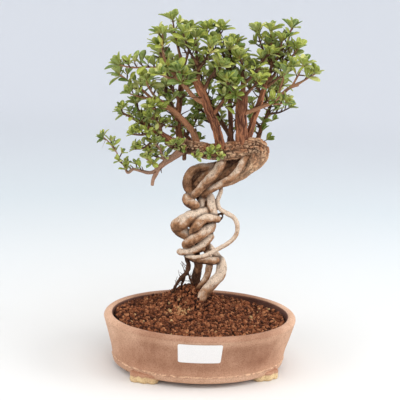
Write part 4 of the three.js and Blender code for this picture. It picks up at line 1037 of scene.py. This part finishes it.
def add_twiglets(parts, points, number, first, spacing, lengths, thickness=1.0, leaves=None):
    """Short shoots, dark and crooked, along a stem, twig or root: bare, or with a few small leaves."""
    route = Route(points, 4)
    from_base = first * (1 + 0.7 * twig_random.random())
    while from_base < route.length - first:
        at, tangent, radius = route.place(from_base)
        outward = way_out(tangent, 2 * math.pi * twig_random.random(), 0.3)
        along = unit(outward + (0.3 + 0.5 * twig_random.random()) * tangent)
        grown = smooth_step(*SHOOTS_GROW, at[2]) if at[2] > SHORT_SHOOTS_FROM else 1
        length = radius + lengths[0] + lengths[1] * twig_random.random() ** 1.5 * grown
        bend = 0.12 * length * (twig_random.random(3) - 0.5)
        twiglet = stick(at, along, length, SHOOT_ROWS, SHOOT_SIDES, ACROSS_SHOOT, thickness, bend)
        from_base += spacing * (0.75 + twig_random.random())
        if in_cad_box(twiglet):
            parts.add(twiglet, ring_faces(len(SHOOT_ROWS), SHOOT_SIDES), tint=twig_tint(twiglet, number, 0.1))
            if leaves is not None:
                add_small_leaves(leaves, at + along * length, along)


# A leaf is a grid of rows along it and columns across, cupped, with an underside
LEAF_ROWS = np.array([0.0, 0.16, 0.36, 0.56, 0.74, 0.88, 0.965])
LEAF_COLUMNS = np.array([-1.0, -0.6, -0.2, 0.0, 0.2, 0.6, 1.0])
LEAF_THICKNESS = 0.3
LEAF_WIDEST = 0.265
LEAF_MARGIN = 0.3

YELLOW_GREEN = linear(184, 187, 84)
MID_GREEN = linear(144, 156, 64)
DEEP_GREEN = linear(96, 118, 42)
BLUE_GREEN = linear(112, 134, 88)
PALE_LEAF = linear(220, 216, 146)
BRONZE = linear(190, 122, 66)
UNDERSIDE = linear(158, 172, 110)

# Below these values a random pick makes a pale, a bluish or a deep green leaf
PALE_BELOW, BLUE_BELOW, DEEP_BELOW = 0.14, 0.26, 0.38

# A rosette: the turn from leaf to leaf, and how far its leaves open in degrees
LEAF_TURN = 2.4
INNER_OPEN, OUTER_OPEN, OPEN_SPREAD = 14, 48, 16
FRESH_SHARE = 0.3


def leaf_grid():
    """Faces of a leaf whose rim and base are shared by its two sides, and which vertices lie below."""
    rows, columns = len(LEAF_ROWS), len(LEAF_COLUMNS)
    tip = rows * columns
    lower = {}
    for i in range(1, rows):
        for j in range(1, columns - 1):
            lower[i, j] = tip + 1 + len(lower)
    faces = []
    for is_lower in (False, True):
        def corner(i, j):
            return lower.get((i, j), i * columns + j) if is_lower else i * columns + j
        for j in range(columns - 1):
            strip = [(corner(i, j), corner(i, j + 1), corner(i + 1, j + 1), corner(i + 1, j))
                     for i in range(rows - 1)]
            strip.append((corner(rows - 1, j), corner(rows - 1, j + 1), tip))
            faces.extend(face if is_lower else face[::-1] for face in strip)
    return faces, tuple(zip(*lower))


def leaf_half_width(t):
    """Half width as a share of the length: a narrow base, widest past the middle, and a rounded tip."""
    return LEAF_WIDEST * (0.1 + 0.92 * np.sin(t ** 1.2 * math.pi * 0.74)) * (1 - t ** 5) ** 0.5


def both_sides(upper, tip):
    """Values of a leaf's upper side, its tip and its underside, in the order of its vertices."""
    return np.concatenate([upper.ravel(), [tip], upper[LEAF_LOWER]])


LEAF_FACES, LEAF_LOWER = leaf_grid()
ALONG_LEAF, ACROSS_LEAF = np.meshgrid(LEAF_ROWS, LEAF_COLUMNS, indexing="ij")
HALF_LEAF = leaf_half_width(ALONG_LEAF)
LEAF_REACH = both_sides(ALONG_LEAF, 1)
LEAF_ASIDE = both_sides(ACROSS_LEAF * HALF_LEAF, 0)
IS_UNDER = np.arange(len(LEAF_REACH)) > ALONG_LEAF.size


def add_leaf(parts, root, along, face, length, bend, cup, tint, blush):
    """One leaf from its root, its upper side towards face; bend droops its tip, cup lifts its edges."""
    along = unit(along)
    face = unit(face - along * face.dot(along))
    across = np.cross(face, along)
    t, s = ALONG_LEAF, ACROSS_LEAF
    lifted = cup * np.abs(s) ** 1.4 * HALF_LEAF - bend * t ** 2
    upper = np.stack([s * HALF_LEAF, lifted, t - 0.25 * bend * t ** 3], -1)
    under = upper[LEAF_LOWER]
    under[:, 1] -= LEAF_THICKNESS * (1 + (np.abs(s[LEAF_LOWER]) < 0.1)) / length
    tip = np.array([[0, -bend - 0.01, 1.0 - 0.25 * bend]])
    grid = np.concatenate([upper.reshape(-1, 3), tip, under])
    points = root + length * (grid[:, :1] * across + grid[:, 1:2] * face + grid[:, 2:] * along)
    colour = mixed(tint[None], UNDERSIDE[None], 0.55 * IS_UNDER)
    colour = mixed(colour, BRONZE[None], blush * np.clip(1.2 - 1.9 * LEAF_REACH, 0, 1))
    fits = in_cad_box(points, LEAF_MARGIN)
    if fits:
        parts.add(points, LEAF_FACES, tint=colour, aside=LEAF_ASIDE * length)
    return fits


def leaf_tint(height_share, inside):
    """A green for one leaf: yellower high up and outside, with painted shade deeper inside the crown; some
    are pale, bluish or deep at random.
    """
    pick = random.random()
    light = mixed(MID_GREEN, YELLOW_GREEN, 0.25 + 0.75 * random.random())
    if pick < PALE_BELOW:
        light = mixed(light, PALE_LEAF, 0.7)
    elif pick < BLUE_BELOW:
        light = mixed(MID_GREEN, BLUE_GREEN, random.random())
    elif pick < DEEP_BELOW:
        light = DEEP_GREEN
    # Painted shade: deeper green towards the crown's middle.
    return mixed(light, DEEP_GREEN, inside * 0.6 - 0.2 * height_share + 0.2 * (random.random() - 0.5))


def add_rosette(leaves, at, axis, count, longest, height_share, inside):
    """Leaves round a short shoot: the outer ones open and long, the inner ones upright and small."""
    axis = unit(axis)
    aside = unit(np.cross(axis, [0.3, 0.2, 0.9]))
    other = np.cross(axis, aside)
    turn = random.random() * 2 * math.pi
    is_fresh = random.random() < FRESH_SHARE
    for k in range(count):
        turn += LEAF_TURN + 0.35 * (random.random() - 0.5)
        outer = 1 - k / count
        open_angle = math.radians(INNER_OPEN + OUTER_OPEN * outer + OPEN_SPREAD * (random.random() - 0.5))
        radial = math.cos(turn) * aside + math.sin(turn) * other
        along = math.cos(open_angle) * axis + math.sin(open_angle) * radial + 0.12 * UP
        face = axis + 0.5 * UP + 0.3 * (random.random(3) - 0.5)
        length = longest * (0.58 + 0.42 * outer) * (0.82 + 0.3 * random.random())
        bend = 0.05 + 0.2 * random.random() * outer
        cup = 0.15 + 0.35 * random.random()
        blush = 0.75 if is_fresh and outer < 0.6 else 0.28 * random.random()
        tint = leaf_tint(height_share, inside)
        for shrink in (1, 0.82, 0.66):
            if add_leaf(leaves, at, along, face, shrink * length, bend, cup, tint, blush):
                break


def add_small_leaves(leaves, tip, along):
    """A few small leaves at the end of a shoot, in darker greens as painted shade."""
    for _ in range(SMALL_LEAVES):
        way = along + 1.3 * (twig_random.random(3) - 0.5) + 0.3 * UP
        face = np.array([0, -0.3, 1]) + 0.8 * (twig_random.random(3) - 0.5)
        # Painted shade: darker greens than the rosettes.
        tint = mixed(MID_GREEN, DEEP_GREEN, 0.2 + 0.7 * twig_random.random())
        length = SMALL_LEAF + SMALL_LEAF_RANGE * twig_random.random()
        add_leaf(leaves, tip - 0.5 * along, way, face, length, 0.12, 0.3, tint, 0.1)


def leaf_nodes(route, first_number, wider):
    """The leafy places of a twig, from its tip inwards: position, twig direction, outward way and radius."""
    distances = [STEP_FROM_TIP]
    grown = smooth_step(*LEAF_GROWS, route.at[-1][2])
    pitch = NODE_PITCH * wider * (LOW_PITCH + (1 - LOW_PITCH) * grown)
    step = pitch * (0.6 + 0.3 * random.random())
    while step < route.length * (1 - BARE_LOW - (BARE_HIGH - BARE_LOW) * grown):
        distances.append(step)
        step += pitch * (0.8 + 0.4 * random.random())
    for order, from_tip in enumerate(distances):
        at, tangent, radius = route.place(route.length - from_tip)
        around = 2 * math.pi * ((first_number + order) * GOLDEN % 1)
        yield at, tangent, way_out(tangent, around, 0.35), radius


def make_branch(name, branch, number):
    """A branch: its wood, spurs and spines in one piece, its leaves in another."""
    wood, leaves = Parts(), Parts()
    tone = BRANCH_TONES.get(name, PLAIN_TONE)
    wider, larger = LEAFINESS.get(name, (1, 1))
    stem, *twigs = branch
    for points in branch:
        add_limb(wood, points, number, tone)
    for points in branch:
        if "back" in name:
            add_twiglets(wood, points, number, *BACK_SHOOTS, leaves=leaves if points is stem else None)
        else:
            add_twiglets(wood, points, number, *FRONT_SHOOTS)
    for points in twigs + ([stem] if stem[-1][3] < LEAFY_BELOW else []):
        for order, node in enumerate(leaf_nodes(Route(points, THIN_PITCH), number, wider)):
            number += 1
            add_leafy_place(wood, leaves, *node, order == 0, number, larger)
    wood.piece(name + "_wood", WOOD, "branch", name)
    leaves.piece(name + "_leaves", LEAF, "leaf", name)
    return number


def add_leafy_place(wood, leaves, at, tangent, outward, radius, is_tip, number, larger):
    """A rosette at a twig's tip, or a spur with its rosette and sometimes a spine."""
    height_share = (at[2] - CROWN_FROM) / CROWN_HEIGHT
    grown = smooth_step(*LEAF_GROWS, at[2])
    longest = LEAF_LONGEST * larger * (LOW_LEAF + (1 - LOW_LEAF) * grown)
    inside = 1 - np.linalg.norm((at - CROWN_MIDDLE) / CROWN_REACH)
    if is_tip:
        count = 7 + int(3 * random.random())
        add_rosette(leaves, at + tangent * 1.5, tangent + 0.55 * UP, count, longest, height_share, inside)
        return
    lean = outward + 0.6 * tangent + 0.55 * UP
    spur = SPUR_SHORT + (SPUR_LONG - SPUR_SHORT) * random.random() ** 1.5
    end = at + unit(lean) * (radius + spur)
    swollen = 1 + 1.3 * smooth_step(0, 0.5, inside) * (7 * number * GOLDEN % 1)
    add_spur(wood, at, end, number, swollen)
    count = 3 + int((4.4 - grown) * random.random())
    add_rosette(leaves, end, lean, count, 0.9 * longest, height_share, inside)
    if random.random() < SPINE_SHARE:
        add_spine(wood, at + outward * radius * 0.6, outward - 0.35 * tangent, 7 + 6 * random.random())


# Pot, soil and label

POT_COLUMNS = 300
PROFILE_STEP = 4.5
CLAY_LIGHT = linear(222, 182, 153)
CLAY_MID = linear(198, 150, 120)
CLAY_PAINTED_SHADE = linear(158, 111, 84)
CLAY_STAIN_AND_SHADE = linear(92, 54, 44)
FOOT_CLAY = linear(240, 214, 164)
FOOT_VOXEL = 0.9
FOOT_ROUNDS = 4
FOOT_FLAT_BELOW, FOOT_GROUND = 0.7, 0.02
HOLE_SIDES, CUTTER_LENGTH = 40, 30

# The stain and painted shade inside start at the lip's inner edge, between these distances beyond it
STAIN_AND_SHADE_OFF, STAIN_AND_SHADE_ON = 1.9, 0.9
STAIN_AND_SHADE = 0.93

# The wall's inside from the lip down to the floor
INSIDE_WALL = [(LIP_INSIDE_R - 0.6, 64), (115.6, 58), (109, 30), (102, 15), (97, 12.3), (90, POT_FLOOR)]

# A foot's lobes: where along the foot, and how wide; one front foot has a narrower outer lobe
LOBES = [(-1, 0.88), (0, 1.0), (1, 0.86)]
NARROW_FOOT, NARROW_LOBE = (85, -53), 0.62
LOBE_COLUMNS = 28


def arc(centre_r, centre_z, radius, start, end, steps):
    """Profile points on an arc, with angles in degrees from straight out, upwards."""
    angles = [math.radians(start + (end - start) * k / steps) for k in range(steps + 1)]
    return [(centre_r + radius * math.cos(a), centre_z + radius * math.sin(a)) for a in angles]


def oval_point(radius, around):
    """A lathe point drawn in to the pot's oval, as in the frame."""
    inner = radius * (1 - OVAL_DIFFERENCE / OVAL_STRAIGHT_FROM)
    across = np.where(radius > OVAL_STRAIGHT_FROM, radius - OVAL_DIFFERENCE, inner)
    return radius * np.cos(around), across * np.sin(around)


def filled_in(profile, longest):
    """A profile with points added so that no step is longer than this."""
    points = [profile[0]]
    for start, end in zip(profile, profile[1:]):
        steps = max(1, math.ceil(math.dist(start, end) / longest))
        points += [(start[0] + (end[0] - start[0]) * k / steps, start[1] + (end[1] - start[1]) * k / steps)
                   for k in range(1, steps + 1)]
    return points


def oval_lathe(profile, columns):
    """Points and faces of a profile turned round the pot's oval. The ends of the profile are at r = 0."""
    radius, z = (np.array(row)[:, None].repeat(columns, 1) for row in zip(*profile[1:-1]))
    x, y = oval_point(radius, full_turn(columns)[None])
    points = np.stack([x, y, z], -1).reshape(-1, 3)
    ends = np.array([[0, 0, profile[0][1]], [0, 0, profile[-1][1]]])
    return np.concatenate([points, ends]), ring_faces(len(profile) - 2, columns)


def pot_profile():
    """From the middle of the underside out, up the wall with its crease, over the lip and down inside."""
    foot_r, foot_z = CREASE_R, CREASE_Z
    outside = [(0, POT_BOTTOM), (104, POT_BOTTOM)]
    outside += arc(foot_r - 6, POT_BOTTOM + 6, 5.4, -86, -8, 6)
    outside += [(foot_r + 0.2, foot_z - 2), (foot_r + 0.8, foot_z - 0.7), (foot_r + 0.5, foot_z)]
    outside += [(foot_r - 0.4, foot_z + 0.8), (foot_r + 0.2, foot_z + 3), (foot_r + 1, foot_z + 8)]
    outside += [(WALL_LOW_R, WALL_LOW_Z), (WALL_HIGH_R - 0.4, WALL_HIGH_Z - 3), (WALL_HIGH_R, WALL_HIGH_Z)]
    outside += arc(POT_HALF_LENGTH - 5.2, POT_HEIGHT - 5.2, 5.2, -18, 84, 9)
    outside += arc(LIP_INSIDE_R + 4.4, POT_HEIGHT - 4.4, 4.4, 96, 178, 12)
    return filled_in(outside + INSIDE_WALL + [(0, POT_FLOOR)], PROFILE_STEP)


def make_pot():
    """The fired pot, a little uneven, with its drain holes, and its four feet."""
    points, faces = oval_lathe(pot_profile(), POT_COLUMNS)
    handmade = 0.45 * noise(points, 26, 41) + 0.14 * noise(points, 7, 42)
    on_wall = smooth_step(60, 100, np.hypot(points[:, 0], points[:, 1] * 1.3))
    chipped = smooth_step(0.1, 0.5, noise(points, 4.2, 43)) * np.exp(-((points[:, 2] - CREASE_Z) / 1.4) ** 2)
    points = points + unit(points * [1, 1, 0]) * ((0.8 * handmade - 1.1 * chipped) * on_wall)[:, None]
    tint = {"tint": clay_tint(points)}
    pot = make_piece("clay_pot", points + POT_CENTRE, faces, tint, CLAY, ["pot"])
    for side in (-1, 1):
        cut_hole(pot, side * DRAIN_X)

    feet, foot_faces, edges = joined_by_voxels(foot_lobes(), FOOT_VOXEL)
    feet = relaxed(feet, edges, FOOT_ROUNDS)
    feet[:, 2] = np.where(feet[:, 2] < FOOT_FLAT_BELOW, FOOT_GROUND, feet[:, 2])
    feet = feet + 0.12 * noise(feet, 3, 44)[:, None] * [1, 1, 0]
    low = mixed(FOOT_CLAY, CLAY_MID, 0.1 + 0.25 * noise(feet, 6, 45))
    tint = {"tint": mixed(low, CLAY_MID, smooth_step(7.5, 9.5, feet[:, 2] + noise(feet, 4, 46)))}
    make_piece("pot_feet", feet, foot_faces, tint, CLAY, ["pot"])


def clay_tint(points):
    """Paler at the ends, with painted light on the lip and the base, painted shade lower down and on the long
    walls and the lip above them, and stain with painted shade inside above the soil.
    """
    z = points[:, 2]
    patch = noise(points, 34, 51) + 0.5 * noise(points, 12, 52) + 0.4 * noise(points * [1, 1, 0.4], 5, 53)
    lower = smooth_step(WALL_HIGH_Z, CREASE_Z + 8, z)
    ends = smooth_step(78, 128, np.abs(points[:, 0]))
    # Painted light on the lip and painted shade lower down; paler at the ends.
    colour = mixed(CLAY_LIGHT, CLAY_MID, 0.35 + 0.5 * lower + 0.15 * patch - 0.35 * ends)
    below_lip = smooth_step(WALL_HIGH_Z + 3, WALL_HIGH_Z - 12, z)
    wall_only = below_lip * smooth_step(CREASE_Z - 1, CREASE_Z + 16, z)
    # Painted shade on the long walls and on the lip above them.
    long_sides = smooth_step(20, 80, np.abs(points[:, 1])) * (1 - ends)
    colour = mixed(colour, CLAY_PAINTED_SHADE, long_sides * wall_only * (0.7 + 0.3 * patch))
    colour = mixed(colour, CLAY_PAINTED_SHADE, 0.65 * long_sides * smooth_step(WALL_HIGH_Z, WALL_HIGH_Z + 4, z))
    # Painted light on the base ring below the crease.
    colour = mixed(colour, CLAY_LIGHT, 0.8 * smooth_step(CREASE_Z + 1, CREASE_Z - 2, z))
    # Stain and painted shade on the inside wall above the soil.
    oval_r = np.hypot(points[:, 0], points[:, 1] * (LIP_INSIDE_R / (LIP_INSIDE_R - OVAL_DIFFERENCE)))
    inside = smooth_step(LIP_INSIDE_R + STAIN_AND_SHADE_OFF, LIP_INSIDE_R + STAIN_AND_SHADE_ON, oval_r) * (z > 40)
    return mixed(colour, CLAY_STAIN_AND_SHADE, STAIN_AND_SHADE * inside)


def foot_lobes():
    """Three rounded lobes for each foot, sunk into the underside."""
    profile = [(0, 0), (7.2, 0)] + arc(6.6, 3.0, 3.1, -75, 40, 6) + [(9.4, 7.5), (9.6, 12.5), (0, 12.6)]
    angle = full_turn(LOBE_COLUMNS)
    ring = np.stack([np.cos(angle), np.sin(angle), 0 * angle], -1)
    inner = np.array(profile[1:-1])
    lobes = Parts()
    for foot_x, foot_y in FEET:
        for place, wide in LOBES:
            if place == 1 and (foot_x, foot_y) == NARROW_FOOT:
                wide = NARROW_LOBE
            x = foot_x + math.copysign(FOOT_STEP_X, foot_x) * place
            y = foot_y - math.copysign(FOOT_STEP_Y, foot_y) * place
            points = (ring[None] * (inner[:, 0] * wide)[:, None, None]).reshape(-1, 3)
            points[:, 2] = np.repeat(inner[:, 1], LOBE_COLUMNS)
            points = np.concatenate([points, [[0, 0, 0], [0, 0, profile[-1][1]]]])
            lobes.add(points + np.array([x, y, 0]) + POT_CENTRE, ring_faces(len(inner), LOBE_COLUMNS))
    return lobes


def cut_hole(pot, x):
    """A round drain hole through the floor."""
    bpy.ops.mesh.primitive_cylinder_add(vertices=HOLE_SIDES, radius=DRAIN_R * MM, depth=CUTTER_LENGTH * MM)
    cutter = bpy.context.object
    cutter.location = tuple((POT_CENTRE + [x, 0, POT_BOTTOM + 4]) * MM)
    bpy.context.view_layer.update()
    boolean = pot.modifiers.new("hole", "BOOLEAN")
    boolean.object = cutter
    boolean.operation = "DIFFERENCE"
    boolean.solver = "EXACT"
    with bpy.context.temp_override(object=pot, active_object=pot):
        bpy.ops.object.modifier_apply(modifier=boolean.name)
    bpy.data.objects.remove(cutter)


# The soil's surface is a little uneven and rises at the right end
UNEVEN, UNEVEN_SIZE = 1.2, 22
RIGHT_RISE, RIGHT_END = 1.6, (86, 112)

# The soil: its bed's profile, and how deep the bed lies under the grains
BED_LOW = POT_FLOOR + 0.6
BED_WALLS = [
    (0, BED_LOW), (90, BED_LOW), (100, BED_LOW + 3), (108.4, 31), (115.0, 57.6), (SOIL_R, SOIL_Z - 3),
]
BED_RINGS = (0.985, 0.94, 0.88, 0.8, 0.72, 0.63, 0.54, 0.45, 0.36, 0.27, 0.18, 0.09)
BED_COLUMNS = 120
BED_DEPTH = 2.8

# The grains: how far apart, how large, and which share of each of the two layers is left out
GRAIN_SPACING = 3.2
GRAIN_LEAST, GRAIN_RANGE = 1.45, 1.5
GRAIN_SUNK, LAYER_RISE = 1.3, 2.2
GRAIN_CORNERS = 12
LEFT_OUT = (0.12, 0.6)
OVAL_STRETCH = 1.35
SOIL_SHADE = linear(30, 18, 15)
SOIL_DARK = linear(66, 36, 25)
SOIL_MID = linear(150, 88, 56)
SOIL_LIGHT = linear(196, 132, 90)
SOIL_TAN = linear(206, 170, 118)
SOIL_ORANGE = linear(214, 112, 60)
LIGHT_SHARE = 0.24

# A patch of tan grains, and one orange grain at the left
TAN_PATCH, TAN_SPREAD = (-28, 4), 13
ORANGE_GRAIN, ORANGE_REACH = (-108, -8), 1.8


def soil_height(x, y):
    heaps = [h["height"] * np.exp(-((x - h["x"]) ** 2 + (y - h["y"]) ** 2) / h["spread"] ** 2)
             for h in (MOUND, SWELL)]
    uneven = UNEVEN * noise(np.stack([x, y, 0 * x], -1), UNEVEN_SIZE, 61)
    at_right = RIGHT_RISE * smooth_step(*RIGHT_END, x)
    return SOIL_Z + SOIL_TILT * x + sum(heaps) + uneven + at_right


def make_soil():
    """The soil's bed, dark as painted shade in the gaps between the grains, and the grains on it."""
    top = [(SOIL_R * share, SOIL_Z) for share in BED_RINGS]
    points, faces = oval_lathe(BED_WALLS + top + [(0, SOIL_Z)], BED_COLUMNS)
    is_top = points[:, 2] > SOIL_Z - 1
    points[is_top, 2] = soil_height(points[is_top, 0], points[is_top, 1]) - BED_DEPTH
    # The bed is painted near black as the shade between grains.
    tint = {"tint": mixed(SOIL_SHADE, SOIL_DARK, 0.2 + 0.2 * noise(points, 3, 62))}
    make_piece("soil_bed", points + POT_CENTRE, faces, tint, GRANULE, ["soil"])
    add_granules()


def grain_shape():
    """A lumpy twelve-cornered grain: an icosahedron's corners and faces."""
    g = (1 + 5 ** 0.5) / 2
    corners = np.array([(-1, g, 0), (1, g, 0), (-1, -g, 0), (1, -g, 0), (0, -1, g), (0, 1, g),
                        (0, -1, -g), (0, 1, -g), (g, 0, -1), (g, 0, 1), (-g, 0, -1), (-g, 0, 1)])
    faces = [(0, 11, 5), (0, 5, 1), (0, 1, 7), (0, 7, 10), (0, 10, 11), (1, 5, 9), (5, 11, 4), (11, 10, 2),
             (10, 7, 6), (7, 1, 8), (3, 9, 4), (3, 4, 2), (3, 2, 6), (3, 6, 8), (3, 8, 9), (4, 9, 5),
             (2, 4, 11), (6, 2, 10), (8, 6, 7), (9, 8, 1)]
    return unit(corners), faces


def add_granules():
    """Two loose layers of grains over the whole bed."""
    corners, faces = grain_shape()
    grains = Parts()
    columns = np.arange(-SOIL_R, SOIL_R, GRAIN_SPACING)
    for layer, grid_x, grid_y in product(range(2), columns, columns):
        x, y = np.array([grid_x, grid_y]) + GRAIN_SPACING * (random.random(2) - 0.5) * 1.1
        size = GRAIN_LEAST + GRAIN_RANGE * random.random() ** 1.5
        edge_x, edge_y = oval_point(np.array(SOIL_R - size - 0.4), math.atan2(y, x))
        if math.hypot(x, y * OVAL_STRETCH) > math.hypot(edge_x, edge_y * OVAL_STRETCH):
            continue
        if random.random() < LEFT_OUT[layer]:
            continue
        top = float(soil_height(np.array([x]), np.array([y]))[0])
        z = top - GRAIN_SUNK + layer * LAYER_RISE * random.random()
        stretch = 0.75 + 0.5 * random.random(3)
        turn = random_turn()
        lumps = 1 + 0.36 * (random.random((GRAIN_CORNERS, 1)) - 0.5)
        points = (corners * lumps * stretch) @ turn * size + [x, y, z]
        grains.add(points + POT_CENTRE, faces, tint=grain_tint(x, y)[None].repeat(GRAIN_CORNERS, 0))
    grains.piece("soil_granules", GRANULE, "soil", "soil", smooth=False)


def random_turn():
    """A random turn in space, as a matrix."""
    w, x, y, z = unit(random.normal(size=4))
    return np.array([[1 - 2 * (y * y + z * z), 2 * (x * y - w * z), 2 * (x * z + w * y)],
                     [2 * (x * y + w * z), 1 - 2 * (x * x + z * z), 2 * (y * z - w * x)],
                     [2 * (x * z - w * y), 2 * (y * z + w * x), 1 - 2 * (x * x + y * y)]])


def grain_tint(x, y):
    """Brown, sometimes lighter, tan near the tan patch, and orange for the one orange grain."""
    pick = random.random()
    colour = mixed(SOIL_DARK, SOIL_MID, 1.1 * random.random() ** 1.3)
    if pick < LIGHT_SHARE:
        colour = mixed(SOIL_MID, SOIL_LIGHT, random.random())
    near_tan = math.exp(-((x - TAN_PATCH[0]) ** 2 + (y - TAN_PATCH[1]) ** 2) / TAN_SPREAD ** 2)
    if random.random() < 0.55 * near_tan + 0.012:
        colour = mixed(SOIL_LIGHT, SOIL_TAN, random.random())
    if math.hypot(x - ORANGE_GRAIN[0], y - ORANGE_GRAIN[1]) < ORANGE_REACH:
        colour = SOIL_ORANGE
    return colour


# The label's cross rings: share of its outline, and share of its thickness
LABEL_RINGS = ((0.3, 0), (0.6, 0), (0.9, 0), (1, 0), (1, 0.8), (0.985, 1), (0.9, 1), (0.6, 1), (0.3, 1))
LABEL_STEP = 2.5
LABEL_OFF_WALL = 0.45


def make_label():
    """A thin paper label with round corners that follows the wall."""
    width, height, corner, thick = (LABEL[k] for k in ("width", "height", "corner", "thickness"))
    outline = []
    for quarter, (side_x, side_y) in enumerate(((1, 1), (-1, 1), (-1, -1), (1, -1))):
        for k in range(6):
            a = math.radians(90 * quarter + 18 * k)
            outline.append((side_x * (width / 2 - corner) + corner * math.cos(a),
                            side_y * (height / 2 - corner) + corner * math.sin(a)))
    outline = filled_in(outline + outline[:1], LABEL_STEP)[:-1]
    slope = (WALL_HIGH_R - WALL_LOW_R) / (WALL_HIGH_Z - WALL_LOW_Z)
    up_share = 1 / math.hypot(1, slope)
    flat = [(x * share, y * share, lift * thick) for share, lift in LABEL_RINGS for x, y in outline]
    flat = np.array(flat + [(0, 0, 0), (0, 0, thick)])
    z = LABEL["z"] + flat[:, 1] * up_share
    radius = WALL_LOW_R + (z - WALL_LOW_Z) * slope + LABEL_OFF_WALL + flat[:, 2]
    x, y = oval_point(radius, math.radians(LABEL["turn"]) + flat[:, 0] / WALL_LOW_R)
    points = np.stack([x, y, z], -1) + POT_CENTRE
    faces = ring_faces(len(LABEL_RINGS), len(outline))
    make_piece("label_paper", points, faces, {}, PAPER, ["label"], smooth=False)


# Everything on the frame

make_pot()
make_soil()
make_label()
for screen in ("drain_screen_left", "drain_screen_right"):
    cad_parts[screen].data.materials.clear()
    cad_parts[screen].data.materials.append(SCREEN)
make_trunk()
leaf_number = 0
for branch_name, branch_routes in BRANCHES.items():
    leaf_number = make_branch(branch_name, branch_routes, leaf_number)


# Stage, lights and camera, in metres

# The backdrop's painted light and shade by distance from the pot, as away / (away + BACKDROP_HALF)
BACKDROP_SHADES = [
    (0.0, (229, 224, 218)), (0.18, (229, 228, 225)), (0.4, (225, 231, 233)), (0.6, (238, 240, 244)),
]
BACKDROP_HALF = 1.5
FLOOR_R, CURVE_R, WALL_TOP = 1.9, 1.3, 3.4
BACKDROP_COLUMNS = 72

# Each light's place, size and watts; all of them aim at the foot of the tree
LIGHTS = {
    "overhead": ((0.1, -0.35, 1.6), (1.3, 1.1), 10),
    "left_side": ((-1.5, -0.55, 0.95), (0.9, 0.9), 10.5),
    "right_side": ((1.5, -0.45, 0.95), (0.9, 0.9), 14),
    "front_fill": ((0.3, -2.3, 1.2), (1.4, 0.6), 5.5),
}
LIGHT_AIM = Vector((0, 0, 0.15))
SKY_COLOUR, SKY_STRENGTH = (0.96, 0.975, 1.0, 1), 0.77

# The photograph's camera: millimetres and degrees, seen from the tree's own front
CAMERA = {"distance": 1300, "elevation": 13.3, "roll": 3.1, "aim_x": -9, "aim_z": 229.3, "lens": 88.91}
SENSOR_WIDTH = 36
CLIP = (0.05, 30)


def backdrop_material():
    """Pale card with painted light and shade that go with the distance from the pot."""
    material, tree, shader = new_material("backdrop", 0.9, 0.1)
    away = add_node(tree, "ShaderNodeVectorMath", {0: places(tree)}, operation="LENGTH").outputs["Value"]
    far = calculated(tree, "DIVIDE", away, calculated(tree, "ADD", away, BACKDROP_HALF))
    tree.links.new(ramp(tree, far, *BACKDROP_SHADES), shader.inputs["Base Color"])
    return material


def make_backdrop():
    """A round pale floor that curves up into a wall on all sides, wide enough for views from anywhere."""
    line = [(share * FLOOR_R, 0.0) for share in (0.05, 0.2, 0.4, 0.6, 0.8, 1.0)]
    line += [(FLOOR_R + CURVE_R * math.sin(a), CURVE_R - CURVE_R * math.cos(a))
             for a in np.linspace(0.12, math.pi / 2, 13)]
    line.append((FLOOR_R + CURVE_R, WALL_TOP))
    points = [(r * math.cos(a), r * math.sin(a), z) for r, z in line for a in full_turn(BACKDROP_COLUMNS)]
    faces = [tuple(range(BACKDROP_COLUMNS))]
    for near in range(0, BACKDROP_COLUMNS * (len(line) - 1), BACKDROP_COLUMNS):
        for k in range(BACKDROP_COLUMNS):
            following = (k + 1) % BACKDROP_COLUMNS
            outer = near + BACKDROP_COLUMNS
            faces.append((near + k, outer + k, outer + following, near + following))
    mesh = bpy.data.meshes.new("backdrop")
    mesh.from_pydata(points, [], faces)
    mesh.shade_smooth()
    mesh.materials.append(backdrop_material())
    backdrop = linked_object("backdrop", mesh)


def add_light(name, place, size, watts):
    light = bpy.data.lights.new(name, "AREA")
    light.shape = "RECTANGLE"
    light.size, light.size_y = size
    light.energy = watts
    lamp = linked_object(name, light)
    lamp.location = place
    lamp.rotation_euler = (LIGHT_AIM - Vector(place)).to_track_quat("-Z", "Y").to_euler()
    lamp.visible_camera = False


def make_sky():
    world = bpy.data.worlds.new("world")
    world.use_nodes = True
    background = world.node_tree.nodes["Background"]
    background.inputs["Color"].default_value = SKY_COLOUR
    background.inputs["Strength"].default_value = SKY_STRENGTH
    bpy.context.scene.world = world


def make_camera():
    """The photograph's camera, turned with the tree's own axes and placed from the pot's middle."""
    elevation, roll = math.radians(CAMERA["elevation"]), math.radians(CAMERA["roll"])
    back = np.array([0, -math.cos(elevation), math.sin(elevation)])
    level = np.array([1.0, 0, 0])
    rise = np.cross(level, -back)
    right = math.cos(roll) * level + math.sin(roll) * rise
    up = math.cos(roll) * rise - math.sin(roll) * level
    place = np.array([CAMERA["aim_x"], 0, CAMERA["aim_z"]]) + CAMERA["distance"] * back
    columns = [turned(way) for way in (right, up, back)] + [(turned(place) + POT_CENTRE) * MM]
    data = bpy.data.cameras.new("camera")
    data.sensor_fit = "HORIZONTAL"
    data.sensor_width = SENSOR_WIDTH
    data.lens = CAMERA["lens"]
    data.clip_start, data.clip_end = CLIP
    camera = linked_object("camera", data)
    camera.matrix_world = Matrix([*np.array(columns).T.tolist(), [0, 0, 0, 1]])
    bpy.context.scene.camera = camera


make_backdrop()
for light_name, (light_place, light_size, light_watts) in LIGHTS.items():
    add_light(light_name, light_place, light_size, light_watts)
make_sky()
bpy.context.scene.view_settings.view_transform = "Standard"
make_camera()
